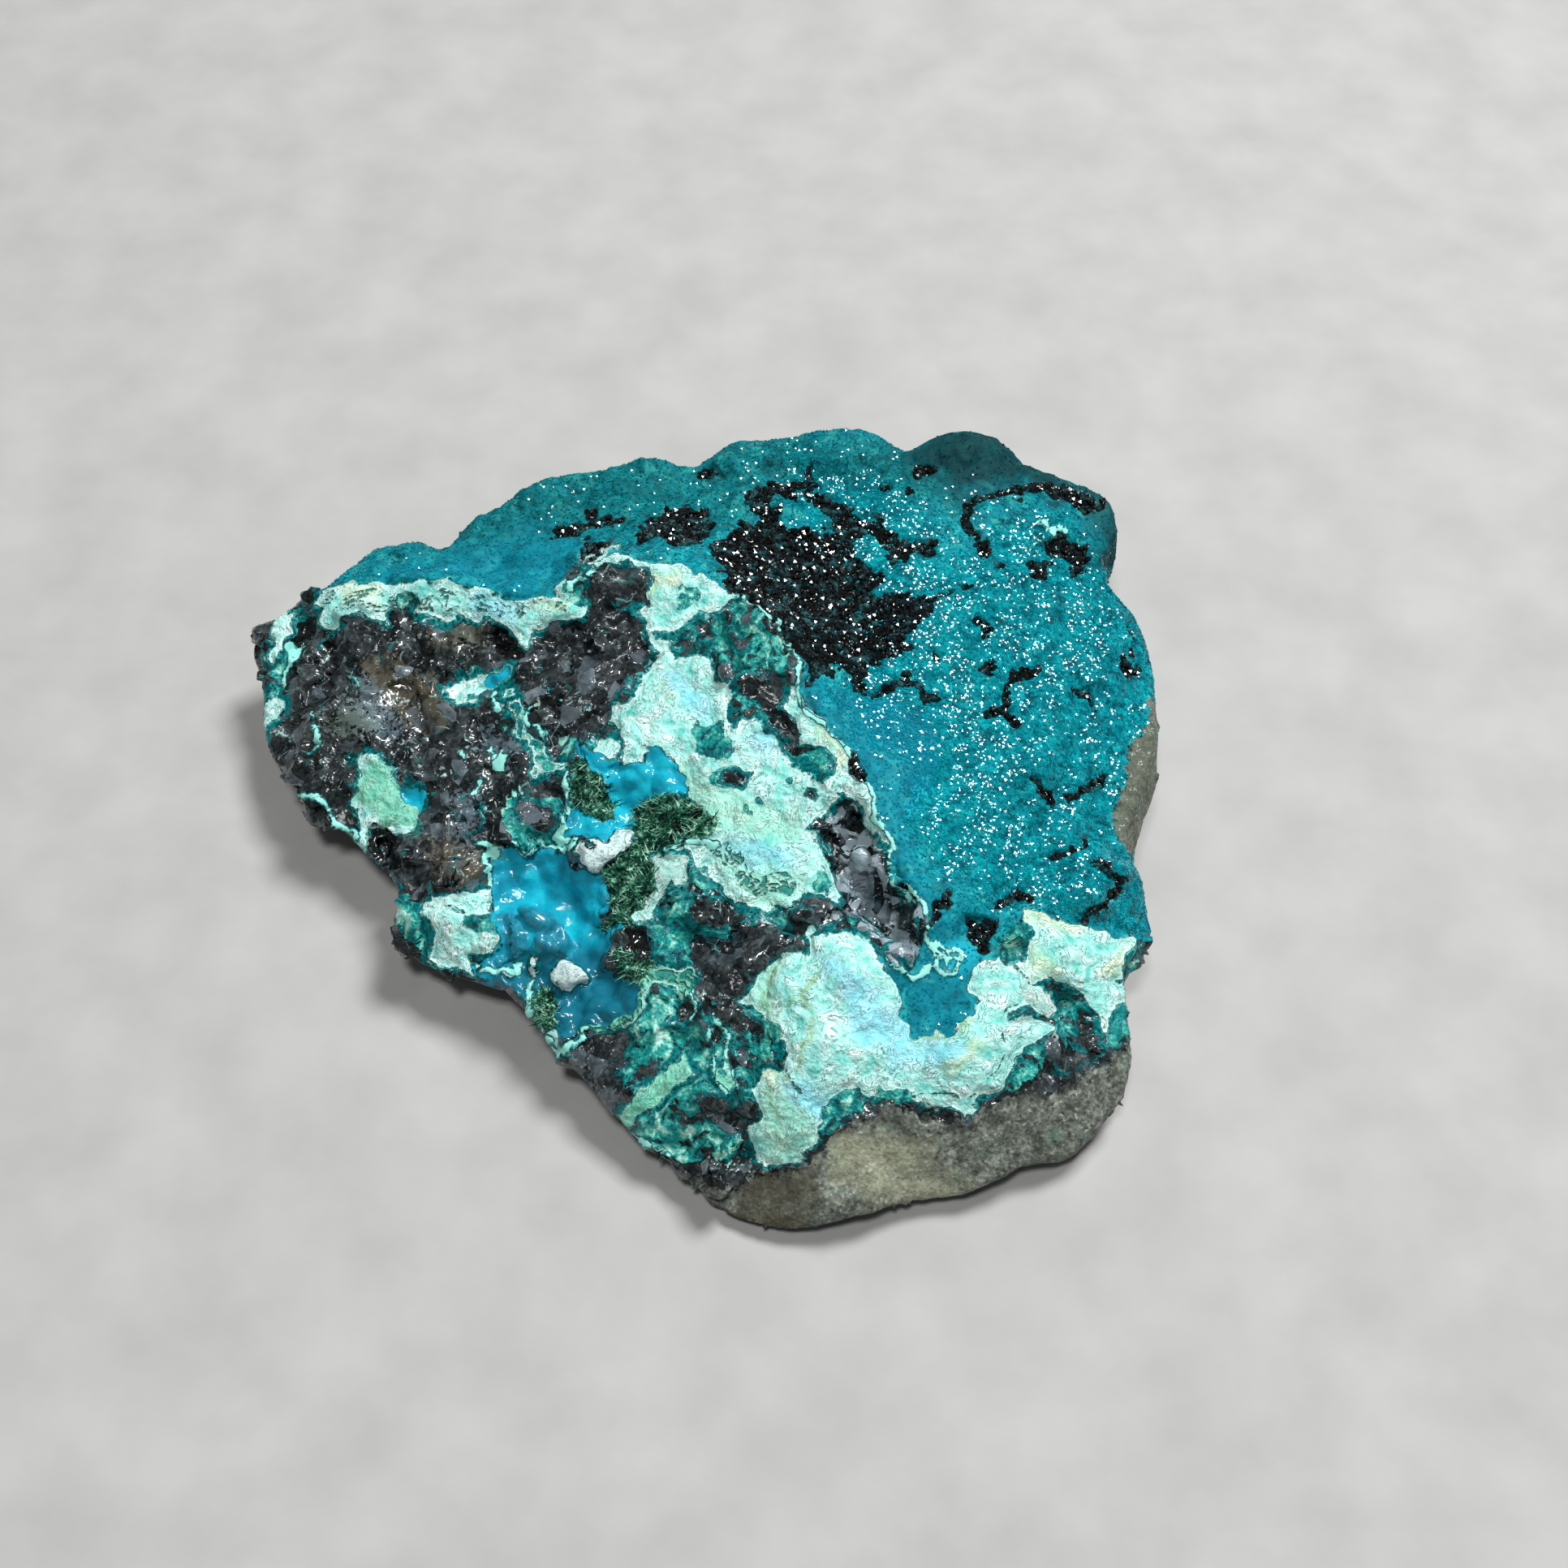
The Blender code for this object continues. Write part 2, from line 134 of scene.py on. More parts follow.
LOWER_PALE = (
    (1007, 1136), (994, 1148), (997, 1164), (987, 1179), (941, 1184), (918, 1238), (935, 1240),
    (962, 1280), (970, 1300), (968, 1322), (945, 1330), (928, 1342), (935, 1380), (925, 1405),
    (930, 1421), (960, 1434), (989, 1429), (1005, 1408), (1014, 1362), (1021, 1349), (1037, 1339),
    (1054, 1344), (1066, 1355), (1078, 1352), (1088, 1342), (1123, 1339), (1129, 1358),
    (1147, 1365), (1171, 1367), (1193, 1377), (1206, 1365), (1210, 1346), (1238, 1335),
    (1244, 1318), (1262, 1295), (1285, 1280), (1290, 1262), (1268, 1250), (1250, 1262),
    (1246, 1240), (1262, 1233), (1282, 1243), (1296, 1240), (1290, 1215), (1272, 1201),
    (1236, 1190), (1227, 1180), (1196, 1208), (1195, 1220), (1208, 1232), (1190, 1260),
    (1131, 1281), (1118, 1271), (1117, 1250), (1089, 1179), (1079, 1166), (1063, 1154),
    (1030, 1150),
)
RIGHT_PALE = (
    (1259, 1123), (1269, 1131), (1351, 1143), (1399, 1162), (1399, 1174), (1379, 1180),
    (1378, 1202), (1397, 1215), (1394, 1233), (1382, 1240), (1366, 1273), (1352, 1263),
    (1349, 1248), (1336, 1233), (1295, 1205), (1272, 1200), (1259, 1189), (1259, 1169),
    (1270, 1154),
)
WINDOW_PALE = (
    (445, 930), (462, 935), (489, 960), (529, 968), (530, 980), (498, 1026), (487, 1030),
    (481, 1017), (462, 1015), (448, 1031), (452, 1050), (468, 1078), (492, 1100), (476, 1096),
    (455, 1074), (440, 1052), (432, 1026), (445, 979),
)
POCKET_SLAB = (
    (531, 1103), (605, 1099), (609, 1115), (581, 1129), (562, 1120), (534, 1115),
)
POCKET_LUMPS = (
    (520, 1117), (541, 1117), (562, 1129), (581, 1132), (576, 1143), (605, 1146), (609, 1158),
    (605, 1167), (586, 1176), (586, 1195), (529, 1176), (534, 1153), (522, 1132),
)
WHITE_HEART = (
    (708, 1042), (723, 1028), (744, 1033), (760, 1023), (777, 1025), (782, 1033), (770, 1051),
    (749, 1063), (737, 1077), (723, 1075), (713, 1061),
)
WHITE_KNOB = (
    (684, 1192), (691, 1183), (704, 1182), (720, 1191), (726, 1203), (718, 1212), (698, 1218),
    (687, 1207),
)
TEARDROP = ((649, 1172), (668, 1184), (664, 1205), (658, 1207), (654, 1191))
LOW_KNOB = ((616, 1186), (632, 1188), (630, 1199), (617, 1198))
LOW_RIM_LEFT = ((650, 1238), (658, 1243), (668, 1262), (668, 1277), (655, 1270), (649, 1255))
LOW_RIM_RIGHT = ((669, 1274), (690, 1272), (692, 1290), (676, 1290))
BRANCH_LUMPS = ((733, 908), (758, 912), (756, 928), (740, 930))
BRANCH_LUMPS_RIGHT = ((764, 918), (798, 915), (800, 928), (780, 940), (766, 934))
BRANCH_LUMP_LOW = ((769, 956), (788, 954), (790, 966), (774, 970))
TIP_VEIN = (
    (336, 760), (360, 746), (365, 751), (350, 793), (329, 820), (322, 814), (325, 804),
    (339, 793), (350, 776),
)
TIP_GREY = (
    (350, 853), (332, 908), (323, 897), (322, 875), (328, 858),
)
TIP_GROOVE = (
    (366, 749), (380, 754), (360, 787), (352, 814), (350, 842), (341, 847), (330, 842),
    (325, 828), (339, 820),
)
BLOCK_WEDGE = (
    (577, 814), (594, 825), (626, 823), (629, 839), (561, 867), (547, 858), (550, 853),
    (566, 853), (580, 834),
)
PALE_WEDGE = (
    (761, 1376), (790, 1336), (849, 1306), (852, 1324), (783, 1383),
)
GREEN_DIAMOND = ((870, 1328), (878, 1314), (888, 1322), (901, 1306), (908, 1325), (892, 1344))
LEDGE_GREY = (
    (800, 1063), (818, 1050), (838, 1063), (841, 1079), (838, 1094), (823, 1091), (813, 1104),
    (805, 1117), (810, 1130), (800, 1142), (787, 1142), (784, 1135), (795, 1117),
)
VEIN_WEDGE = ((844, 1216), (849, 1232), (844, 1250), (850, 1262), (834, 1258), (841, 1245))

POCKET = (
    (612, 1044), (628, 1037), (642, 1051), (656, 1054), (675, 1047), (701, 1051), (708, 1073),
    (746, 1082), (734, 1151), (748, 1150), (764, 1139), (770, 1148), (748, 1180), (751, 1200),
    (774, 1207), (783, 1218), (774, 1238), (752, 1257), (713, 1270), (692, 1284), (692, 1231),
    (680, 1222), (664, 1220), (653, 1234), (640, 1228), (633, 1205), (612, 1218), (596, 1206),
    (590, 1190), (609, 1175), (612, 1157), (607, 1101),
)
# Painted shade: the low part of the pocket is darkened in the blue's colour.
LOW_POCKET = (
    (600, 1180), (740, 1165), (790, 1205), (780, 1270), (690, 1290), (600, 1225),
)
CYAN_POCKET = (
    (692, 1025), (701, 1004), (720, 997), (744, 1011), (760, 1004), (753, 985), (779, 995),
    (779, 1018), (737, 1028),
)
BRANCHES = (
    (718, 915), (764, 938), (790, 941), (800, 933), (795, 918), (813, 918), (820, 933),
    (846, 964), (846, 984), (825, 976), (802, 979), (784, 992), (779, 1007), (769, 992),
    (754, 982), (751, 969), (726, 938),
)
WINDOW_BLUE = ((500, 963), (529, 966), (530, 982), (517, 1000), (508, 980))
DARK_BOSS = ((593, 1200), (612, 1195), (627, 1204), (622, 1221), (602, 1219))
GREY_BOSS = (
    (645, 1120), (656, 1115), (680, 1139), (701, 1162), (699, 1176), (680, 1186), (647, 1139),
)
SECOND_BOSS = (
    (616, 1125), (640, 1120), (642, 1146), (652, 1167), (614, 1181), (612, 1151),
)
BRIGHT_SPOTS = (
    (1122, 970), (1145, 960), (1170, 962), (1178, 993), (1170, 1006), (1140, 1008), (1122, 993),
)
TONGUE_GLOW = ((1150, 1172), (1190, 1160), (1215, 1175), (1200, 1200), (1170, 1205))

MALACHITE_LEFT = (
    (713, 938), (728, 941), (751, 974), (756, 1002), (744, 1010), (713, 984), (708, 959),
)
MALACHITE_RIGHT = (
    (782, 1007), (784, 994), (802, 982), (818, 982), (861, 994), (871, 1007), (871, 1028),
    (861, 1033), (835, 1033), (810, 1043), (802, 1058), (795, 1109), (777, 1150), (769, 1140),
    (736, 1155), (749, 1124), (749, 1076), (784, 1035), (777, 1017),
)
MALACHITE_LOW = (
    (763, 1183), (778, 1176), (809, 1180), (801, 1194), (782, 1204),
)
GREEN_BOSS = (
    (653, 1234), (664, 1220), (680, 1222), (691, 1234), (688, 1258), (677, 1271), (664, 1261),
)

LUMP_UPPER = (
    (853, 1122), (860, 1108), (870, 1102), (889, 1105), (924, 1129), (913, 1141), (866, 1135),
)
LUMP_LOWER = (
    (851, 1165), (860, 1152), (881, 1151), (889, 1159), (908, 1156), (924, 1143), (948, 1136),
    (982, 1160), (980, 1173), (948, 1176), (935, 1187), (919, 1222), (910, 1232), (924, 1266),
    (918, 1285), (906, 1270), (873, 1245), (850, 1185),
)
LUMP_RIGHT = ((998, 1110), (1033, 1105), (1036, 1130), (1004, 1136), (985, 1150), (978, 1140))
LOW_LEFT_DARK = (
    (704, 1310), (712, 1285), (722, 1273), (769, 1269), (776, 1282), (748, 1315), (765, 1335),
    (760, 1372), (740, 1362), (718, 1338),
)
UNDER_CREST = (
    (1012, 1018), (1033, 1000), (1053, 1003), (1066, 1018), (1089, 1069), (1102, 1087),
    (1130, 1156), (1124, 1179), (1117, 1184), (1089, 1143), (1038, 1120), (1022, 1039),
    (1010, 1029),
)
APEX_GREY = (
    (725, 701), (742, 691), (765, 693), (788, 702), (796, 716), (797, 738), (780, 745),
    (735, 735), (722, 720),
)
TOP_STRIP = (
    (812, 790), (822, 777), (845, 764), (872, 754), (893, 752), (905, 745), (930, 760),
    (950, 776), (965, 800), (970, 830), (966, 860), (985, 915), (975, 922), (945, 890),
    (912, 870), (900, 848), (884, 832), (878, 810), (850, 803), (828, 805),
)
STRIP_SPOTS = (
    (6, ((842, 788), (843, 790))), (9, ((895, 822), (893, 830))), (12, ((918, 842), (950, 848))),
    (11, ((945, 862), (972, 905))), (6, ((905, 792), (915, 797))), (5, ((868, 780), (872, 778))),
)
TEAL_PATCH_CENTRAL = (
    (855, 888), (872, 884), (890, 893), (905, 905), (902, 922), (884, 928), (868, 918),
    (856, 904),
)
CENTRAL_PIT = (
    (880, 950), (892, 941), (910, 943), (926, 956), (928, 972), (915, 983), (895, 978),
    (882, 965),
)
RIGHT_MOTTLE = ((969, 926), (1000, 930), (1034, 946), (1026, 962), (1000, 957), (980, 944))
PALE_DROP = ((1001, 1078), (1012, 1075), (1017, 1090), (1009, 1101), (1001, 1092))
APEX_EYE = ((843, 725), (853, 715), (866, 720), (868, 735), (858, 745), (845, 740))
LOWER_PATCH_LEFT = (
    (1014, 1362), (1022, 1349), (1037, 1339), (1054, 1343), (1064, 1354), (1046, 1389),
    (1024, 1404), (1011, 1396),
)
LOWER_PATCH_RIGHT = (
    (1078, 1355), (1088, 1343), (1107, 1338), (1123, 1338), (1129, 1354), (1118, 1361),
)
LOWER_NOTCH = (
    (930, 1252), (948, 1250), (962, 1258), (968, 1272), (960, 1280), (935, 1266),
)
RIM_WEDGE = ((692, 735), (699, 722), (722, 728), (728, 738), (712, 741))
RIM_PATCH = ((487, 734), (497, 727), (512, 732), (517, 744), (503, 746), (492, 743))
SLATE_TONGUE = (
    (1246, 1225), (1262, 1230), (1280, 1243), (1290, 1232), (1280, 1205), (1295, 1217),
    (1343, 1238), (1354, 1248), (1364, 1284), (1374, 1302), (1351, 1319), (1331, 1304),
    (1320, 1289), (1295, 1294), (1280, 1317), (1254, 1340), (1213, 1337), (1238, 1325),
    (1256, 1296), (1284, 1282), (1290, 1264), (1270, 1252),
)
CREST_MOTTLE = (
    (1229, 1190), (1229, 1150), (1240, 1134), (1256, 1124), (1270, 1152), (1259, 1168),
    (1258, 1188), (1250, 1200),
)
LOW_LEFT_MOTTLE = (
    (770, 1262), (795, 1245), (806, 1216), (846, 1217), (858, 1245), (875, 1252), (905, 1275),
    (935, 1262), (948, 1275), (952, 1300), (940, 1328), (926, 1342), (934, 1378), (925, 1402),
    (928, 1424), (880, 1432), (822, 1425), (757, 1378), (772, 1345), (750, 1318), (775, 1285),
)
POCKET_SHADE = (
    (619, 990), (645, 976), (690, 985), (701, 1002), (692, 1012), (690, 1028), (700, 1040),
    (680, 1044), (666, 1041), (652, 1050), (626, 1030),
)
INLET = ((576, 1130), (600, 1127), (614, 1131), (612, 1146), (590, 1146), (577, 1141))
CORNER_TEAL = ((487, 1120), (510, 1110), (530, 1120), (536, 1150), (528, 1176), (500, 1160))
ARC_TEAL = (
    (884, 1137), (905, 1142), (908, 1156), (890, 1157), (862, 1148), (846, 1152), (851, 1180),
    (846, 1199), (796, 1190), (812, 1172), (804, 1150), (812, 1132), (806, 1118), (816, 1104),
    (840, 1096), (858, 1104), (852, 1124), (866, 1136),
)
MIDDLE_TEAL = (
    (838, 1055), (860, 1062), (898, 1106), (925, 1122), (960, 1124), (985, 1118), (1010, 1104),
    (1034, 1112), (1062, 1140), (1010, 1138), (990, 1150), (968, 1140), (925, 1132), (890, 1104),
    (862, 1094), (842, 1078),
)
BRANCH_TEAL = (
    (700, 905), (722, 905), (760, 930), (800, 925), (830, 944), (858, 996), (800, 985),
    (780, 1010), (762, 1002), (742, 1024), (700, 1004), (702, 960), (690, 946),
)
RIGHT_RIM_TEAL = ((1379, 1180), (1399, 1176), (1404, 1190), (1398, 1212), (1379, 1202))
KNOB_TEAL = ((1380, 1245), (1396, 1235), (1402, 1270), (1392, 1290), (1376, 1300), (1368, 1276))
VEIN_PATH = (
    (632, 856), (637, 880), (630, 898), (646, 908), (662, 926), (664, 942), (692, 946),
)
BLOCK_TEAL_VEIN = (10, VEIN_PATH)
BLOCK_PALE_VEIN = (5.5, VEIN_PATH)
BLOCK_VEIN_CORE = (2.4, VEIN_PATH)

WEDGE_PALE = (
    (562, 864), (556, 852), (600, 824), (629, 819), (631, 838), (590, 852), (575, 866),
)
WEDGE_BLUE = ((596, 840), (602, 827), (627, 821), (629, 835), (612, 843))
ARC = ((724, 1268), (756, 1256), (776, 1238), (786, 1212), (806, 1200), (832, 1202),
       (848, 1216), (852, 1240))
RIM_LINE = ((400, 736), (440, 740), (480, 734), (520, 740), (560, 744), (610, 748), (650, 752),
            (690, 742))
BANDED_EDGE = ((880, 1040), (900, 1064), (922, 1082), (944, 1094), (966, 1092), (984, 1096))
HOST_FLANK = (
    (845, 1470), (862, 1458), (908, 1457), (1002, 1437), (1032, 1402), (1082, 1366), (1100, 1366),
    (1190, 1390), (1206, 1380), (1214, 1364), (1232, 1353), (1274, 1346), (1305, 1347),
    (1331, 1332), (1361, 1324), (1398, 1280), (1450, 1270), (1450, 1580), (800, 1580),
    (800, 1470),
)
HOST_STRIP = (
    (1424, 858), (1383, 950), (1371, 1000), (1373, 1025), (1381, 1045), (1396, 1055),
    (1440, 1050), (1440, 858),
)

BEAD_FIELD = (
    (886, 702), (880, 672), (910, 649), (926, 652), (930, 633), (913, 606), (933, 606),
    (950, 596), (996, 596), (996, 576), (1016, 613), (1046, 623), (1052, 643), (1075, 643),
    (1082, 633), (1089, 656), (1129, 669), (1148, 669), (1145, 682), (1115, 686), (1066, 722),
    (1109, 735), (1162, 732), (1158, 749), (1115, 772), (1125, 782), (1082, 818), (1062, 825),
    (1056, 848), (1046, 838), (1036, 812), (1022, 815), (1009, 828), (1003, 848), (996, 828),
    (969, 785), (950, 765), (923, 749), (900, 725),
)
BEAD_ISLAND_TOP = (
    (953, 619), (966, 603), (993, 609), (1016, 629), (1026, 659), (959, 656), (950, 646),
)
BEAD_ISLAND_RIGHT = ((1049, 665), (1070, 659), (1095, 672), (1095, 695), (1075, 705), (1052, 690))
BEAD_PATCH_LEFT = (
    (686, 639), (739, 619), (736, 643), (719, 656), (676, 659),
)
BEAD_PATCH_MIDDLE = ((789, 639), (871, 623), (871, 666), (848, 672), (815, 659), (785, 669))
BLACK_PIT = (
    (1191, 1131), (1206, 1133), (1224, 1128), (1216, 1179), (1209, 1174), (1204, 1143),
)
BLACK_LENS = ((1039, 923), (1052, 928), (1062, 944), (1066, 968), (1049, 948), (1039, 934))
BLACK_BAND = (
    (1261, 609), (1274, 599), (1298, 594), (1328, 599), (1357, 626), (1347, 629), (1288, 606),
)
GREY_BEADS = ((1261, 696), (1280, 692), (1298, 700), (1294, 712), (1270, 708))
BERRIES = ((1294, 672), (1310, 662), (1340, 670), (1341, 695), (1325, 705), (1300, 694))
# Painted shade: the recess, the window's pit, the cave, the void and the heart's hole below are laid
# black for the shade inside them.
BLOCK_RECESS = ((599, 788), (612, 782), (632, 786), (637, 798), (622, 806), (603, 802))
WINDOW_PIT = (
    (458, 1019), (473, 1017), (486, 1034), (484, 1050), (473, 1060), (450, 1036),
)
MALACHITE_CAVE = ((828, 1015), (848, 1005), (858, 1007), (861, 1028), (841, 1033), (828, 1025))
LOW_VOID = ((774, 1153), (802, 1153), (811, 1172), (795, 1174), (777, 1171))
HEART_HOLE = (5, ((720, 1036), (723, 1039)))
CRACKS = (
    (6, ((1075, 855), (1089, 848), (1112, 845), (1122, 835), (1132, 848), (1138, 865),
         (1158, 865))),
    (5, ((1284, 831), (1264, 828), (1248, 828), (1241, 845), (1245, 871), (1251, 898))),
    (4, ((1245, 871), (1225, 875))),
    (4, ((1215, 815), (1208, 828))),
    (4, ((1208, 772), (1218, 788))),
    (4, ((1324, 845), (1337, 868))),
    (5, ((1274, 964), (1288, 972), (1298, 984))),
    (5, ((1321, 981), (1340, 975), (1357, 961))),
    (4, ((1292, 1067), (1318, 1052), (1338, 1024))),
    (5, ((1351, 1067), (1366, 1076), (1379, 1083))),
    (5, ((1338, 1131), (1348, 1120), (1359, 1113), (1376, 1092))),
    (5, ((1141, 1110), (1160, 1110))),
    (4, ((1145, 1112), (1146, 1125), (1151, 1141))),
    (5, ((1224, 1118), (1244, 1108), (1252, 1104), (1272, 1115))),
    (4, ((1185, 626), (1215, 619), (1241, 609), (1261, 606))),
    (5, ((1188, 626), (1198, 646), (1208, 666), (1221, 676))),
    (5, ((1138, 583), (1144, 584))), (5, ((1115, 603), (1121, 604))),
    (4, ((1079, 606), (1084, 607))), (5, ((876, 581), (886, 584))),
    (5, ((1182, 714), (1188, 713))), (4, ((1156, 796), (1160, 804))),
    (5, ((1232, 695), (1240, 699))), (4, ((1162, 732), (1172, 726))),
    (4, ((732, 646), (745, 641), (762, 639))),
    (5, ((745, 666), (728, 678), (712, 692))),
    (3, ((1400, 770), (1408, 790))), (5, ((1390, 815), (1402, 835))),
)
RIND_LINES = (
    (2.4, ((905, 735), (930, 752), (948, 767), (966, 782), (976, 812), (984, 842), (996, 868),
           (1033, 916), (1060, 960), (1082, 996), (1092, 1020), (1097, 1060), (1106, 1082),
           (1121, 1105), (1137, 1133), (1149, 1146), (1147, 1166), (1160, 1178))),
    (2.4, ((1098, 1177), (1103, 1187), (1112, 1194), (1124, 1198), (1139, 1194), (1150, 1188))),
    (1.4, ((1149, 1170), (1164, 1166), (1180, 1171), (1187, 1184), (1178, 1197), (1161, 1200),
           (1150, 1188), (1149, 1170))),
    (1.0, ((1150, 1181), (1166, 1179), (1186, 1184))), (1.0, ((1166, 1167), (1162, 1182), (1169, 1199))),
    (2.2, ((595, 1044), (614, 1040), (628, 1033), (638, 1040), (642, 1048), (652, 1051),
           (666, 1042), (680, 1044), (699, 1044), (701, 1037), (690, 1025), (687, 1018),
           (692, 1009), (701, 1002), (704, 990), (701, 976), (699, 962), (701, 950))),
    (4, ((599, 1042), (613, 1041), (609, 1056), (605, 1073), (603, 1092))),
    (4, ((360, 798), (360, 814), (352, 836))),
    (2, ((366, 979), (388, 990), (399, 1004), (421, 1017), (434, 1030))),
    (1.6, ((651, 864), (648, 880), (665, 897), (668, 910))),
    (2, ((1284, 636), (1291, 649), (1291, 662), (1271, 676))),
    (2, ((1291, 649), (1311, 659))),
    (1.4, ((426, 828), (434, 839), (437, 853))),
    (1.4, ((388, 878), (395, 889), (391, 913), (385, 924))),
    (1.0, ((889, 1253), (897, 1282), (901, 1304), (908, 1325))),
    (1.0, ((882, 1271), (873, 1287), (878, 1314), (870, 1328), (892, 1344), (908, 1325))),
    (1.6, ((851, 1222), (862, 1250), (856, 1262))),
    (2, ((722, 1272), (708, 1284), (694, 1300))),
    (2.2, ((825, 1040), (850, 1037), (881, 1044))),
    (2.2, ((704, 722), (716, 716), (726, 702))),
    (1.8, ((757, 1378), (790, 1402), (822, 1425))),
    (3.5, ((598, 1186), (617, 1191), (638, 1190))),
    (2.5, ((658, 1208), (652, 1230), (651, 1250), (660, 1270), (674, 1282), (692, 1292))),
)
FLECKS = (
    (2.2, ((572, 925), (575, 929))), (2.5, ((590, 960), (594, 957))),
    (3.4, ((613, 934), (620, 948))), (2.2, ((626, 975), (630, 978))),
    (2, ((601, 921), (603, 924))), (2, ((580, 978), (583, 976))),
    (2.2, ((640, 962), (642, 970))), (2, ((606, 853), (610, 868))),
)
BAND_LINES = (
    (1.0, ((968, 1287), (969, 1314), (984, 1335), (1011, 1351))),
    (0.9, ((1215, 1330), (1236, 1300), (1242, 1262), (1240, 1240), (1252, 1222))),
    (0.9, ((1125, 1356), (1160, 1352), (1190, 1362), (1206, 1348))),
)
GREEN_VEINS = (
    (3, ((1008, 1193), (1000, 1220), (1003, 1247), (997, 1270), (992, 1292), (987, 1314))),
    (3.5, ((981, 1214), (985, 1226), (979, 1238))),
    (3, ((950, 1190), (952, 1215), (948, 1240))),
    (1.5, ((1118, 1276), (1136, 1282), (1168, 1273), (1198, 1256))),
    (1.5, ((1128, 1282), (1134, 1298))),
    (2.4, ((940, 1330), (960, 1322), (975, 1330))),
    (2.4, ((950, 1350), (958, 1380), (962, 1400))),
)
JADE_TINTS = ((34, ((470, 970), (490, 985))), (12, ((450, 1060), (480, 1090))), (12, ARC),
              (24, ((785, 1365), (840, 1322))), (16, ((880, 1322), (895, 1332))))
GREEN_TINTS = (
    (30, ((960, 1370), (975, 1400))), (16, ((945, 1200), (945, 1240))),
    (22, ((900, 1050), (960, 1100))), (20, ((855, 960), (880, 1000))), (26, ((890, 1000), (960, 1020))),
)
YELLOW_STAINS = (
    (10, ((436, 731), (456, 731))),
    (7, ((640, 752), (690, 742))),
    (9, ((1262, 1130), (1330, 1145))),
    (8, ((1268, 1175), (1300, 1200))),
    (8, ((1365, 1190), (1385, 1176))),
    (14, ((1180, 1310), (1200, 1290))),
    (9, ((824, 840), (832, 858))),
    (10, ((955, 1330), (985, 1350))),
    (9, ((790, 725), (840, 712))),
    (8, ((1010, 900), (1030, 930))),
)
BROWN_STAINS = (
    (13, ((547, 780), (583, 781))), (30, ((470, 830), (530, 880))), (24, ((545, 1050), (580, 1075))),
    (50, ((830, 1520), (960, 1530))), (26, ((935, 1472), (985, 1460))),
)
TAN_STAINS = ((28, ((1050, 1425), (1125, 1420))), (20, ((1080, 1460), (1180, 1470))))
BLUE_SPECKS = ((16, ((570, 990), (572, 1035))), (12, ((600, 905), (620, 925))),
               (14, ((450, 850), (480, 900))))
BLUE_STAINS = (
    (26, ((1060, 1230), (1110, 1290))),
    (14, ((1150, 1300), (1180, 1290))),
    (18, ((990, 1345), (1010, 1358))),
    (12, ((932, 906), (940, 912))),
    (14, ((900, 1040), (960, 1060))),
    (14, ((1020, 1190), (1040, 1210))),
    (12, ((830, 840), (860, 870))),
    (12, ((590, 745), (640, 750))),
)
GREY_STAINS = (
    (20, ((430, 885), (448, 884))),
    (10, ((1240, 642), (1252, 645))), (9, ((1298, 638), (1316, 640))),
    (12, ((1262, 1212), (1282, 1228))),
    (12, ((566, 780), (575, 782))), (20, ((815, 1068), (822, 1100))),
)
EYES = (
    (5, ((940, 986), (942, 986))), (8, ((999, 978), (1000, 979))), (3, ((922, 993), (923, 993))),
    (8, ((851, 1076), (852, 1076))), (5, ((721, 1037), (722, 1037))),
    (7, ((903, 962), (908, 965))), (3, ((973, 961), (974, 961))), (3, ((838, 788), (845, 790))),
)
DARK_ISLES = (
    (12, ((575, 1000), (580, 1020))), (14, ((650, 1000), (665, 1010))),
    (10, ((845, 1240), (862, 1252))), (16, ((880, 1370), (900, 1380))),
    (8, ((1328, 1255), (1350, 1300))), (8, ((903, 960), (914, 966))),
    (5, ((998, 979), (999, 980))), (9, ((1010, 1122), (1026, 1115))),
    (12, ((1300, 1288), (1325, 1308))),
)


def beside(path, half_width, *gaps):
    """Thin lines that run beside a drawn one, each some pixels from it."""
    points = np.array(path, float)
    along = np.gradient(points, axis=0)
    across = np.column_stack((-along[:, 1], along[:, 0]))
    across /= np.linalg.norm(across, axis=1)[:, None]
    return tuple((half_width, points + gap * across) for gap in gaps)


